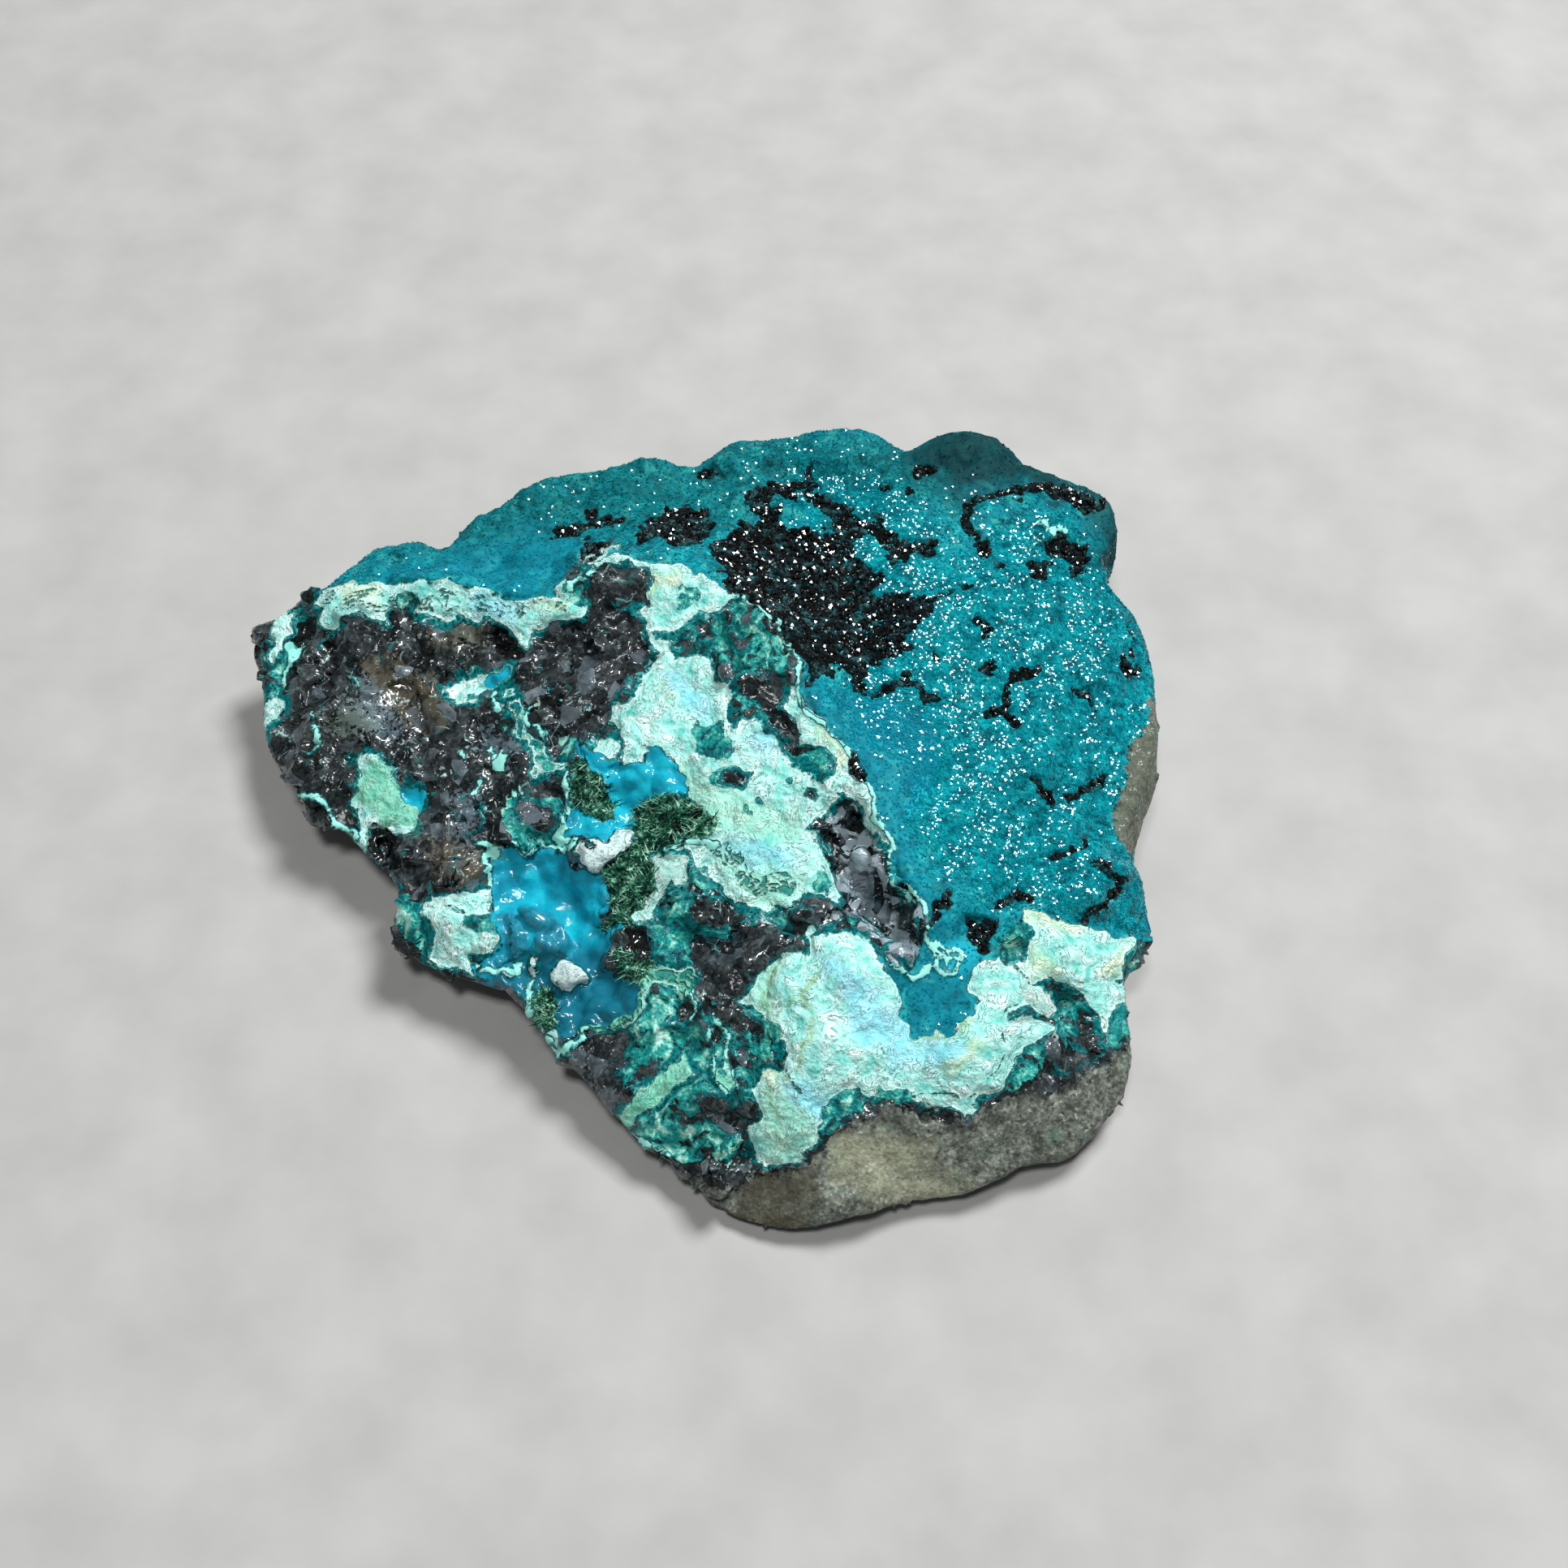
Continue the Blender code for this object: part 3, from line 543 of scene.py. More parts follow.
# Each mineral's outlines, and lines with their half widths. LAYERS says which lies over which.
MINERALS = {
    "mixed": (TOP_STRIP, SLATE_TONGUE, LOW_LEFT_MOTTLE, MIDDLE_TEAL, BRANCH_TEAL),
    "teal": (RIGHT_MOTTLE, CREST_MOTTLE, POCKET_SHADE, CORNER_TEAL, ARC_TEAL, RIGHT_RIM_TEAL, KNOB_TEAL,
             BLOCK_TEAL_VEIN, TIP_GROOVE, BLOCK_WEDGE),
    "pale": (LEFT_RIM, APEX, CREST_BAND, CENTRAL_PALE, LOWER_PALE, RIGHT_PALE, WINDOW_PALE,
             POCKET_SLAB, POCKET_LUMPS, TIP_VEIN, TIP_GREY, PALE_WEDGE,
             GREEN_DIAMOND, LEDGE_GREY, VEIN_WEDGE, LOW_RIM_LEFT, LOW_RIM_RIGHT, BLOCK_PALE_VEIN,
             BRANCH_LUMPS, BRANCH_LUMPS_RIGHT, BRANCH_LUMP_LOW, WEDGE_PALE, (12, ARC)),
    "inlay": (TEAL_PATCH_CENTRAL, CENTRAL_PIT, PALE_DROP, APEX_EYE, LOWER_PATCH_LEFT,
              LOWER_PATCH_RIGHT, LOWER_NOTCH, RIM_WEDGE, RIM_PATCH, INLET,
              BLOCK_VEIN_CORE, *EYES),
    "dark": (LUMP_UPPER, LUMP_LOWER, LUMP_RIGHT, LOW_LEFT_DARK, UNDER_CREST, APEX_GREY,
             *STRIP_SPOTS, *DARK_ISLES),
    "green": (MALACHITE_LEFT, MALACHITE_RIGHT, MALACHITE_LOW, GREEN_BOSS),
    "blue": (POCKET, CYAN_POCKET, BRANCHES, WINDOW_BLUE, DARK_BOSS, WEDGE_BLUE),
    "white": (WHITE_KNOB, TEARDROP, LOW_KNOB, WHITE_HEART),
    "host": (HOST_FLANK, HOST_STRIP),
    "strip": (HOST_STRIP,),
    "crust": (PLATEAU,),
    "rind": RIND_LINES + FLECKS,
    "band": BAND_LINES + beside(ARC, 1.0, -9, -5, -1, 3, 7) + beside(RIM_LINE, 0.7, -8, -3, 3, 9)
    + beside(BANDED_EDGE, 0.8, -14, -9, -4, 2, 8),
    # black: tenorite in the cracks and patches, and painted shade in the recess, pit, cave, void and
    # hole
    "black": (BEAD_PATCH_LEFT, BEAD_PATCH_MIDDLE, BLACK_PIT, BLACK_LENS, BLACK_BAND, GREY_BEADS,
              BERRIES, BLOCK_RECESS, WINDOW_PIT, MALACHITE_CAVE, LOW_VOID, HEART_HOLE, *CRACKS),
    "beads": (BEAD_FIELD,),
    "islands": (BEAD_ISLAND_TOP, BEAD_ISLAND_RIGHT),
    "jade_tint": JADE_TINTS,
    "green_tint": GREEN_TINTS,
    "green_stain": GREEN_VEINS,
    "yellow_stain": YELLOW_STAINS,
    "blue_stain": BLUE_STAINS,
    "brown_stain": BROWN_STAINS,
    "tan_stain": TAN_STAINS,
    # the hollow under the crest, whose chips get painted highlights
    "hollow": (UNDER_CREST,),
    "blue_specks": BLUE_SPECKS,
    "grey_stain": GREY_STAINS,
    "sparkling": (SPARKLING,),
    "smooth": (SMOOTH_CRUST, BLUE_SWELLS),
    "swells": (BLUE_SWELLS,),
    # painted shade over the plateau's back lobe
    "painted_shade_lobe": (SHADED_LOBE,),
    # painted shade along the plateau's back top
    "dim": (SHADED_TOP,),
    # painted shade in the pocket's low part
    "painted_shade_low_pocket": (LOW_POCKET,),
    "bosses": (GREY_BOSS, SECOND_BOSS),
    "glow": (BRIGHT_SPOTS, TONGUE_GLOW),
}
PIXELS_PER_MM = 10.0
REACH = 3.0                         # a distance past this many millimetres isn't told apart

# ---------------------------------------------------------------- the rock's own sizes, mm

VOXEL = 0.36
WELD = 0.01                         # points of the solid's mesh nearer than this are one
ROCK_TRIANGLES = 196000
HIDDEN_TRIANGLES = 20000            # what the faces turned away from the camera keep
CRUST_DEPTH = 2.6                   # the blue-green crust's thickness, seen on the far flanks
TEAL_DEPTH = 4.4
DARK_DEPTH = 8.5
FLANK_WANDER = 2.4                  # how far those depths wander along the flank
FLANK_WANDER_SIZE = 11.0
FAR_SIDE = (0.6, 1.0, 0.0)          # where the flanks with that crust face
FAR_STEEPNESS = 8.0                 # how fast the crust ends where a flank turns away from there
BORDER_WANDER = ((4.2, 0.75), (1.5, 0.4))  # over what size drawn borders wander, and how far
WANDER_OFFSETS = (3.7, 9.1)         # apart in the noise, for the wander across and down the frame
BEAD_RAGGED = 0.6                   # how raggedly the beads spread past their outline
BEAD_RAGGED_SIZE = 1.3
BEAD_RAGGED_BIAS = 0.25             # more than 0 spreads them further than it takes them away
FACING_HIDDEN = -0.08               # how squarely a hidden point faces the camera, at most
FACING_SEEN = 0.12                  # and a seen one, at least
TOP_CELL = 3.0                      # the highest point is looked for in squares this wide


def to_pixels(points):
    """Where the camera sees points of the rock, given in metres."""
    offset = points / MM - np.array(CAMERA_TARGET) - CAMERA_DISTANCE * TO_CAMERA
    scale = LENS / SENSOR * FRAME / -(offset @ TO_CAMERA)
    return np.column_stack((FRAME / 2 + scale * offset[:, 0],
                            FRAME / 2 - scale * (offset @ UP_THE_FRAME)))


def to_segment(points, start, end):
    """Distance from each point to one straight stretch."""
    along = np.array(end, float) - start
    share = np.clip((points - start) @ along / max(along @ along, 1e-9), 0, 1)
    return np.linalg.norm(points - start - share[:, None] * along, axis=1)


def inside_line(points, half_width, path):
    """How far each point lies inside a line of some width."""
    gaps = [to_segment(points, np.array(start, float), end) for start, end in zip(path, path[1:])]
    return half_width - np.min(gaps, axis=0)


def inside_outline(points, outline):
    """How far each point lies inside a closed outline; outside is negative."""
    corners = np.array(outline, float)
    gap = np.full(len(points), np.inf)
    inside = np.zeros(len(points), bool)
    for start, end in zip(corners, np.roll(corners, -1, axis=0)):
        gap = np.minimum(gap, to_segment(points, start, end))
        between = (start[1] > points[:, 1]) != (end[1] > points[:, 1])
        rise = end[1] - start[1] or 1.0
        crossing = start[0] + (points[:, 1] - start[1]) * (end[0] - start[0]) / rise
        inside ^= between & (points[:, 0] < crossing)
    return np.where(inside, gap, -gap)


def inside_mineral(pixels, shapes):
    """How far each pixel lies inside any of a mineral's shapes, in millimetres."""
    reach = REACH * PIXELS_PER_MM
    best = np.full(len(pixels), -reach)
    for shape in shapes:
        is_line = not isinstance(shape[0], tuple)
        corners = np.array(shape[1] if is_line else shape, float)
        near = np.all((pixels > corners.min(0) - reach) & (pixels < corners.max(0) + reach), axis=1)
        if near.any():
            depth = inside_line(pixels[near], *shape) if is_line else inside_outline(pixels[near], shape)
            best[near] = np.maximum(best[near], depth)
    return np.clip(best / PIXELS_PER_MM, -REACH, REACH)


def smooth_step(values, low, high):
    """0 below low, 1 above high, smooth between."""
    share = np.clip((values - low) / (high - low), 0, 1)
    return share * share * (3 - 2 * share)


def within(depths, mineral, low, high):
    """0 where the mineral's depth is below low, 1 above high, smooth between."""
    return smooth_step(depths[mineral], low, high)


# ---------------------------------------------------------------- modelling helpers

def only(piece):
    """Leaves one piece selected and active."""
    bpy.ops.object.select_all(action="DESELECT")
    piece.select_set(True)
    bpy.context.view_layer.objects.active = piece


def finish_with(piece, kind, **settings):
    """Adds one modifier with its settings and applies it."""
    modifier = piece.modifiers.new(kind.lower(), kind)
    for name, value in settings.items():
        setattr(modifier, name, value)
    only(piece)
    bpy.ops.object.modifier_apply(modifier=modifier.name)


def points_of(mesh):
    """Vertex positions in metres, and vertex normals."""
    places = np.empty(len(mesh.vertices) * 3, np.float32)
    mesh.vertices.foreach_get("co", places)
    normals = np.empty(len(mesh.vertices) * 3, np.float32)
    mesh.vertex_normals.foreach_get("vector", normals)
    return places.reshape(-1, 3).astype(float), normals.reshape(-1, 3).astype(float)


def facing_camera(places, normals):
    """How squarely each vertex faces the camera, from -1 to 1."""
    towards = (np.array(CAMERA_TARGET) + CAMERA_DISTANCE * TO_CAMERA) * MM - places
    return np.sum(normals * towards, axis=1) / np.linalg.norm(towards, axis=1)


def depth_below_top(places):
    """How far each vertex lies under the highest point near it, in millimetres."""
    cells = np.floor(places[:, :2] / (TOP_CELL * MM)).astype(int)
    cells -= cells.min(0) - 1
    tops = np.full(cells.max(0) + 2, -np.inf)
    np.maximum.at(tops, (cells[:, 0], cells[:, 1]), places[:, 2])
    near = [np.roll(tops, (x, y), axis=(0, 1)) for x in (-1, 0, 1) for y in (-1, 0, 1)]
    return (np.max(near, axis=0)[cells[:, 0], cells[:, 1]] - places[:, 2]) / MM


def noise_at(places, size, offset=0.0):
    """Smooth noise from about -1 to 1 at each place, over a size in millimetres."""
    shift = Vector((offset, -offset, 2 * offset))
    return np.array([noise.noise(Vector(place / (size * MM)) + shift) for place in places])


def mineral_depths(mesh):
    """How far inside each mineral every vertex lies, in millimetres."""
    places, normals = points_of(mesh)
    pixels = to_pixels(places)
    for size, reach in BORDER_WANDER:
        wander = [noise_at(places, size, offset) for offset in WANDER_OFFSETS]
        pixels += 2 * reach * PIXELS_PER_MM * np.column_stack(wander)
    seen = smooth_step(facing_camera(places, normals), FACING_HIDDEN, FACING_SEEN)
    below = depth_below_top(places)
    wander = FLANK_WANDER * noise_at(places, FLANK_WANDER_SIZE)
    behind = FAR_STEEPNESS * (normals @ FAR_SIDE) - 1
    hidden = {
        "crust": np.minimum(CRUST_DEPTH + wander - below, behind),
        "teal": np.minimum(TEAL_DEPTH + wander - below, behind),
        "host": below + wander - DARK_DEPTH,
    }
    depths = {}
    for mineral, shapes in MINERALS.items():
        drawn = inside_mineral(pixels, shapes)
        unseen = np.clip(hidden.get(mineral, -REACH), -REACH, REACH)
        depths[mineral] = seen * drawn + (1 - seen) * unseen
    depths["crust"] = np.minimum(depths["crust"], -depths["strip"])
    depths["beads"] = np.minimum(depths["beads"], -depths["islands"])
    depths["beads"] += BEAD_RAGGED * (noise_at(places, BEAD_RAGGED_SIZE) + BEAD_RAGGED_BIAS)
    depths["seen"] = seen
    return depths


# ---------------------------------------------------------------- the rock

WEIGHT_STEPS = 40                   # how finely a vertex group tells its shares apart
LEAN_STRETCH = 3.1                  # takes the noise at neighbouring facets well apart
LEAN_OFFSETS = ((0.7, 0.5, 0.3), (5.2, 0.5, 0.3), (9.4, 0.5, 0.3))

# Each pattern's texture, its own mean, where the surface stays, and its settings.
PATTERNS = {
    "cells": ("VORONOI", 0.4, {}),
    "waves": ("CLOUDS", 0.5, {"noise_depth": 1}),
    "lumps": ("CLOUDS", 0.5, {"noise_depth": 2}),
    "crumbs": ("CLOUDS", 0.5, {"noise_depth": 3}),
    "ridges": ("CLOUDS", 0.3, {"noise_depth": 2, "noise_type": "HARD_NOISE"}),
}


def weigh(piece, name, shares):
    """Keeps each vertex's share, 0 to 1, as a vertex group."""
    group = piece.vertex_groups.new(name=name)
    steps = np.rint(np.clip(shares, 0, 1) * WEIGHT_STEPS).astype(int)
    for step in range(1, WEIGHT_STEPS + 1):
        group.add(np.flatnonzero(steps == step).tolist(), step / WEIGHT_STEPS, "REPLACE")


def press(piece, group, pattern, size, depth):
    """Pushes the surface in and out by a pattern of one size, where the vertex group says."""
    kind, middle, settings = PATTERNS[pattern]
    texture = bpy.data.textures.new(f"{group}_{pattern}", kind)
    texture.noise_scale = size * MM
    for name, value in settings.items():
        setattr(texture, name, value)
    finish_with(piece, "DISPLACE", texture=texture, texture_coords="LOCAL", mid_level=middle,
                strength=depth * MM, vertex_group=group)


def chip(piece, group, size, slope):
    """Breaks the surface into flat facets about size across, each leaned its own way."""
    places, normals = points_of(piece.data)
    index = piece.vertex_groups[group].index
    leans = {}
    for vertex in piece.data.vertices:
        share = sum(entry.weight for entry in vertex.groups if entry.group == index)
        if share:
            spot = Vector(places[vertex.index] / (size * MM))
            centre = noise.voronoi(spot)[1][0]
            key = tuple(centre)
            if key not in leans:
                leans[key] = Vector([noise.noise(LEAN_STRETCH * centre + Vector(offset))
                                     for offset in LEAN_OFFSETS])
            height = share * slope * size * leans[key].dot(spot - centre)
            vertex.co += Vector(normals[vertex.index]) * height * MM
    piece.data.update()


def lift(piece, group, height):
    """Lifts the surface by a plain height, where the vertex group says."""
    finish_with(piece, "DISPLACE", mid_level=0.0, strength=height * MM, vertex_group=group)


# The relief in the order it is made: how, where, and its sizes in mm.
RELIEF = (
    (press, "crust", "waves", 3.0, 0.5),
    (press, "rough_crust", "cells", 4.4, -0.8),
    (press, "swells", "cells", 5.0, -1.6),
    (press, "rough_crust", "cells", 1.7, -0.35),
    (press, "rough_crust", "waves", 0.9, 0.15),
    (press, "dim", "cells", 1.4, -0.6),
    (press, "pale", "crumbs", 2.6, 0.9),
    (press, "pale", "ridges", 1.0, 0.5),
    (lift, "pale_inner", 0.15),
    (press, "blue", "cells", 2.4, -1.3),
    (press, "green", "ridges", 0.8, 0.9),
    (press, "host", "crumbs", 3.4, 0.8),
    (press, "broken", "lumps", 5.5, 1.2),
    (chip, "broken", 6.5, 0.8),
    (chip, "broken", 2.8, 0.7),
    (chip, "hollow", 3.2, 1.2),
    (lift, "black", -0.5),
    (lift, "beads", -0.35),
    (lift, "rind", 0.25),
    (lift, "knobs", 1.2),
    (lift, "bosses", 1.3),
)


def relief_groups(piece):
    """The vertex groups that say where each kind of relief lies."""
    depths = mineral_depths(piece.data)
    crust = within(depths, "crust", -0.2, 0.3)
    blue = within(depths, "blue", -0.3, 0.4)
    knobs = within(depths, "white", -0.3, 0.3)
    green = within(depths, "green", -0.2, 0.3)
    host = within(depths, "host", -0.5, 0.5) * (1 - crust)
    dark = within(depths, "dark", -0.2, 0.2) * (1 - crust)
    pale = within(depths, "pale", -0.2, 0.3) * (1 - crust) * (1 - blue) * (1 - dark) * (1 - green)
    broken = np.clip(1 - crust - pale - blue - host - green - knobs, 0, 1)
    broken *= 0.25 + 0.75 * smooth_step(-depths["pale"], 0.2, 1.6)
    broken *= depths["seen"]
    groups = {
        "crust": crust,
        "rough_crust": crust * (1 - 0.8 * within(depths, "smooth", -1.0, 1.0)),
        "dim": crust * within(depths, "dim", -1.0, 1.0),
        "swells": crust * within(depths, "swells", -1.5, 0.5),
        "pale": pale,
        "pale_inner": pale * within(depths, "pale", 0.5, 1.0),
        "blue": blue * (1 - knobs) * (1 - 0.8 * within(depths, "bosses", -0.3, 0.5)),
        "green": green,
        "host": host,
        "broken": broken,
        "hollow": broken * within(depths, "hollow", -0.5, 0.5),
        "black": within(depths, "black", -0.25, 0.15) * (1 - within(depths, "beads", -0.5, 0.5)),
        "beads": within(depths, "beads", -0.4, 0.4),
        "rind": within(depths, "rind", -0.3, 0.1),
        "knobs": within(depths, "white", -0.2, 0.9),
        "bosses": within(depths, "bosses", -0.1, 1.0),
        "hidden": 1 - within(depths, "seen", 0.0, 0.5),
    }
    for name, shares in groups.items():
        weigh(piece, name, shares)


def count_triangles(piece):
    """How many triangles the piece's faces make."""
    return sum(len(face.vertices) - 2 for face in piece.data.polygons)


def settle(piece):
    """Keeps the flat break on the floor: what the relief pushed under it is pressed flat."""
    places, _ = points_of(piece.data)
    places[:, 2] = np.maximum(places[:, 2], 0.0)
    piece.data.vertices.foreach_set("co", places.astype(np.float32).ravel())
    piece.data.update()


def thin_hidden(piece):
    """Thins the faces that are turned away from the camera, which need less detail."""
    index = piece.vertex_groups["hidden"].index
    hidden = {vertex.index for vertex in piece.data.vertices
              if any(entry.group == index and entry.weight > 0.5 for entry in vertex.groups)}
    faces = sum(len(face.vertices) - 2 for face in piece.data.polygons if face.vertices[0] in hidden)
    total = count_triangles(piece)
    finish_with(piece, "DECIMATE", ratio=1 - (faces - HIDDEN_TRIANGLES) / total,
                vertex_group="hidden", use_collapse_triangulate=True)


def fine_rock(node):
    """The rock with its fine relief: a crisp copy of the solid, pressed mineral by mineral."""
    rock = bpy.data.objects.new("chrysocolla_rock", node.data.copy())
    bpy.context.collection.objects.link(rock)
    rock.data.materials.clear()
    only(rock)
    bpy.ops.object.mode_set(mode="EDIT")
    bpy.ops.mesh.select_all(action="SELECT")
    bpy.ops.mesh.remove_doubles(threshold=WELD * MM)
    bpy.ops.object.mode_set(mode="OBJECT")
    finish_with(rock, "SUBSURF", levels=2, render_levels=2)
    finish_with(rock, "REMESH", mode="VOXEL", voxel_size=VOXEL * MM)
    finish_with(rock, "SMOOTH", factor=0.5, iterations=5)
    relief_groups(rock)
    for make, group, *sizes in RELIEF:
        make(rock, group, *sizes)
    settle(rock)
    thin_hidden(rock)
    finish_with(rock, "DECIMATE", ratio=ROCK_TRIANGLES / count_triangles(rock),
                use_collapse_triangulate=True)
    settle(rock)
    rock.vertex_groups.clear()
    depths = mineral_depths(rock.data)
    for mineral, values in depths.items():
        layer = rock.data.attributes.new(mineral, "FLOAT", "POINT")
        layer.data.foreach_set("value", values.astype(np.float32))
    only(rock)
    bpy.ops.object.shade_smooth()
    return rock, depths


# ---------------------------------------------------------------- materials

EDGE = 0.07                         # half the soft width of a mineral's border, mm
GLAZE_IOR = 1.28                    # the rock's own shine, under its glosses
QUARTZ_IOR = 1.55
TENORITE_IOR = 1.8
BROAD_SIZE = 6.0                    # the patterns' sizes, mm
SWIRL_SIZE = 3.2
MIDDLE_SIZE = 1.7
FINE_SIZE = 0.45
WIDE_FACET = 2.2
SMALL_FACET = 0.38
VEIN_SPACING = 4.0

# The rock's finishes, from the lowest up: the mineral, the pattern that makes its border uneven, its
# finish, how far it grows past its border, half the border's soft width, and share_of's most, in mm.
LAYERS = (
    ("mixed", "spread", "teal", 0.0, EDGE, 0.35),
    ("teal", "ragged", "teal", 0.1),
    ("pale", "spread", "halo", 0.75, 0.15),
    ("pale", "ragged", "clear_halo", 0.22, 0.1),
    ("pale", "torn", "pale", 0.08),
    ("band", "gentle", "band"),
    ("inlay", "ragged", "teal", 0.1),
    ("dark", "spread", "halo", 0.35, 0.12),
    ("dark", "ragged", "matrix"),
    ("green", "ragged", "malachite"),
    ("blue", "ragged", "halo", 0.2),
    ("blue", "gentle", "blue", 0.15),
    ("bosses", "gentle", "boss", 0.0, 0.4),
    ("white", "gentle", "halo", 0.25),
    ("white", "gentle", "white"),
    ("host", "spread", "matrix", 0.5, 0.2),
    ("host", "ragged", "host", 0.0, 0.15),
    ("crust", "gentle", "crust"),
    ("rind", "gentle", "halo", 0.25),
    ("rind", "torn", "rind", 0.08),
    ("beads", "gentle", "tenorite"),
    # black tenorite in the cracks, and painted shade in the recess, pit, cave, void and hole
    ("black", "torn", "tenorite", 0.05),
)


def colour(code):
    """Linear red, green, blue and alpha from an sRGB hex value."""
    parts = [int(code[i:i + 2], 16) / 255 for i in (1, 3, 5)]
    linear = [part / 12.92 if part <= 0.04045 else ((part + 0.055) / 1.055) ** 2.4 for part in parts]
    return *linear, 1.0


def wire(tree, node, sockets):
    """Links a node's sockets to other nodes' sockets, or gives them values."""
    for socket, value in sockets.items():
        if isinstance(value, bpy.types.NodeSocket):
            tree.links.new(value, node.inputs[socket])
        else:
            node.inputs[socket].default_value = value


def add(tree, kind, sockets=None, ramp=None, **settings):
    """Adds a shader node with its settings and wires it."""
    made = tree.nodes.new("ShaderNode" + kind)
    for name, value in settings.items():
        setattr(made, name, value)
    wire(tree, made, sockets or {})
    if ramp:
        stops = made.color_ramp.elements
        while len(stops) < len(ramp):
            stops.new(0.5)
        for stop, (place, code) in zip(stops, ramp):
            stop.position = place
            stop.color = colour(code)
    return made.outputs


def new_material(name):
    """An empty procedural material, its node tree and its shader."""
    material = bpy.data.materials.new(name)
    material.use_nodes = True
    tree = material.node_tree
    return material, tree, tree.nodes["Principled BSDF"]


def millimetres(tree):
    """Object coordinates in millimetres."""
    place = add(tree, "TexCoord")["Object"]
    return add(tree, "Mapping", {"Vector": place, "Scale": (1 / MM,) * 3})[0]


def combine(tree, operation, *values):
    """One sum of numbers and sockets."""
    return add(tree, "Math", dict(enumerate(values)), operation=operation)[0]


def weighted(tree, *parts, start=0.0):
    """A sum of patterns, each times its own weight."""
    total = start
    for pattern, weight in parts:
        total = combine(tree, "MULTIPLY_ADD", pattern, weight, total)
    return total


def mixture(tree, share, one, other):
    """One pattern with a share of another."""
    return add(tree, "Mix", {0: share, 2: one, 3: other})[0]


def attribute(tree, name):
    """What an attribute of the mesh says."""
    return add(tree, "Attribute", attribute_name=name)["Fac"]


def remap(tree, value, low, high, first=0.0, last=1.0):
    """Runs evenly from first, where value is low, to last, where it is high."""
    return add(tree, "MapRange", {"Value": value, "From Min": low, "From Max": high,
                                  "To Min": first, "To Max": last})[0]


def graded(tree, value, *stops):
    """A colour for every value, from places and hex colours."""
    return add(tree, "ValToRGB", {"Fac": value}, ramp=stops)[0]


def tinted(tree, under, code, share):
    """A plain colour over another."""
    return add(tree, "Mix", {0: share, 6: under, 7: colour(code)}, data_type="RGBA")[2]


def clouds(tree, place, size, detail=2.0, distortion=0.0):
    """Soft noise over a size in millimetres."""
    return add(tree, "TexNoise", {"Vector": place, "Scale": 1 / size, "Detail": detail,
                                  "Distortion": distortion})[0]


def mean_of(tree, one, other):
    """The mean of two patterns."""
    return combine(tree, "MULTIPLY", combine(tree, "ADD", one, other), 0.5)


def share_of(tree, mineral, uneven, grow=0.0, edge=EDGE, most=REACH):
    """Where a mineral lies: its distance attribute with an uneven border, grown by some mm.

    A small most lets the unevenness break the mineral up even far inside its outline.
    """
    depth = combine(tree, "MINIMUM", attribute(tree, mineral), most)
    wavy = combine(tree, "ADD", depth, uneven)
    return remap(tree, wavy, -grow - edge, edge - grow)


def lay(tree, under, share, over):
    """Lays one finish over another: each is a colour, a roughness, a height in mm and a gloss."""
    kinds = (("RGBA", 6, 2),) + (("FLOAT", 2, 0),) * 3
    return [add(tree, "Mix", {0: share, first: below, first + 1: above}, data_type=kind)[result]
            for below, above, (kind, first, result) in zip(under, over, kinds)]


def stained(tree, under, *stains):
    """Stains over a colour: their colours, minerals, uneven and soft borders and strengths."""
    for code, mineral, uneven, soft, strength in stains:
        share = share_of(tree, mineral, uneven, 0.0, soft)
        under = tinted(tree, under, code, combine(tree, "MULTIPLY", share, strength))
    return under


def facets(tree, place, size, slope):
    """Tiny flat faces, each leaned its own way: their height in mm and a random shade."""
    cells = add(tree, "TexVoronoi", {"Vector": place, "Scale": 1 / size})
    lean = add(tree, "VectorMath", {0: cells["Color"], 1: (0.5,) * 3}, operation="SUBTRACT")[0]
    across = add(tree, "VectorMath", {0: place, 1: cells["Position"]}, operation="SUBTRACT")[0]
    height = add(tree, "VectorMath", {0: across, 1: lean}, operation="DOT_PRODUCT")["Value"]
    return combine(tree, "MULTIPLY", height, slope), add(tree, "SeparateColor", {0: cells["Color"]})[0]


def rock_patterns(tree):
    """The patterns that the rock's finishes share, and how uneven their borders are, in mm."""
    p = SimpleNamespace(place=millimetres(tree))
    p.broad = clouds(tree, p.place, BROAD_SIZE)
    p.middle = clouds(tree, p.place, MIDDLE_SIZE, 3.0)
    p.fine = clouds(tree, p.place, FINE_SIZE)
    p.swirl = clouds(tree, p.place, SWIRL_SIZE, 4.0, 1.6)
    p.small_facets, p.small_shade = facets(tree, p.place, SMALL_FACET, 0.5)
    p.wide_facets, p.wide_shade = facets(tree, p.place, WIDE_FACET, 0.45)
    p.ragged = weighted(tree, (p.middle, 1.6), (p.fine, 0.8), start=-1.2)
    p.torn = weighted(tree, (p.ragged, 0.7))
    p.gentle = weighted(tree, (p.ragged, 0.4))
    p.spread = weighted(tree, (p.swirl, 4.0), (p.ragged, 1.0), start=-2.0)
    p.grains = weighted(tree, (p.spread, 1.0), (p.small_shade, 2.4), start=-1.2)
    p.chips = weighted(tree, (p.wide_shade, 6.0), start=-3.0)
    return p


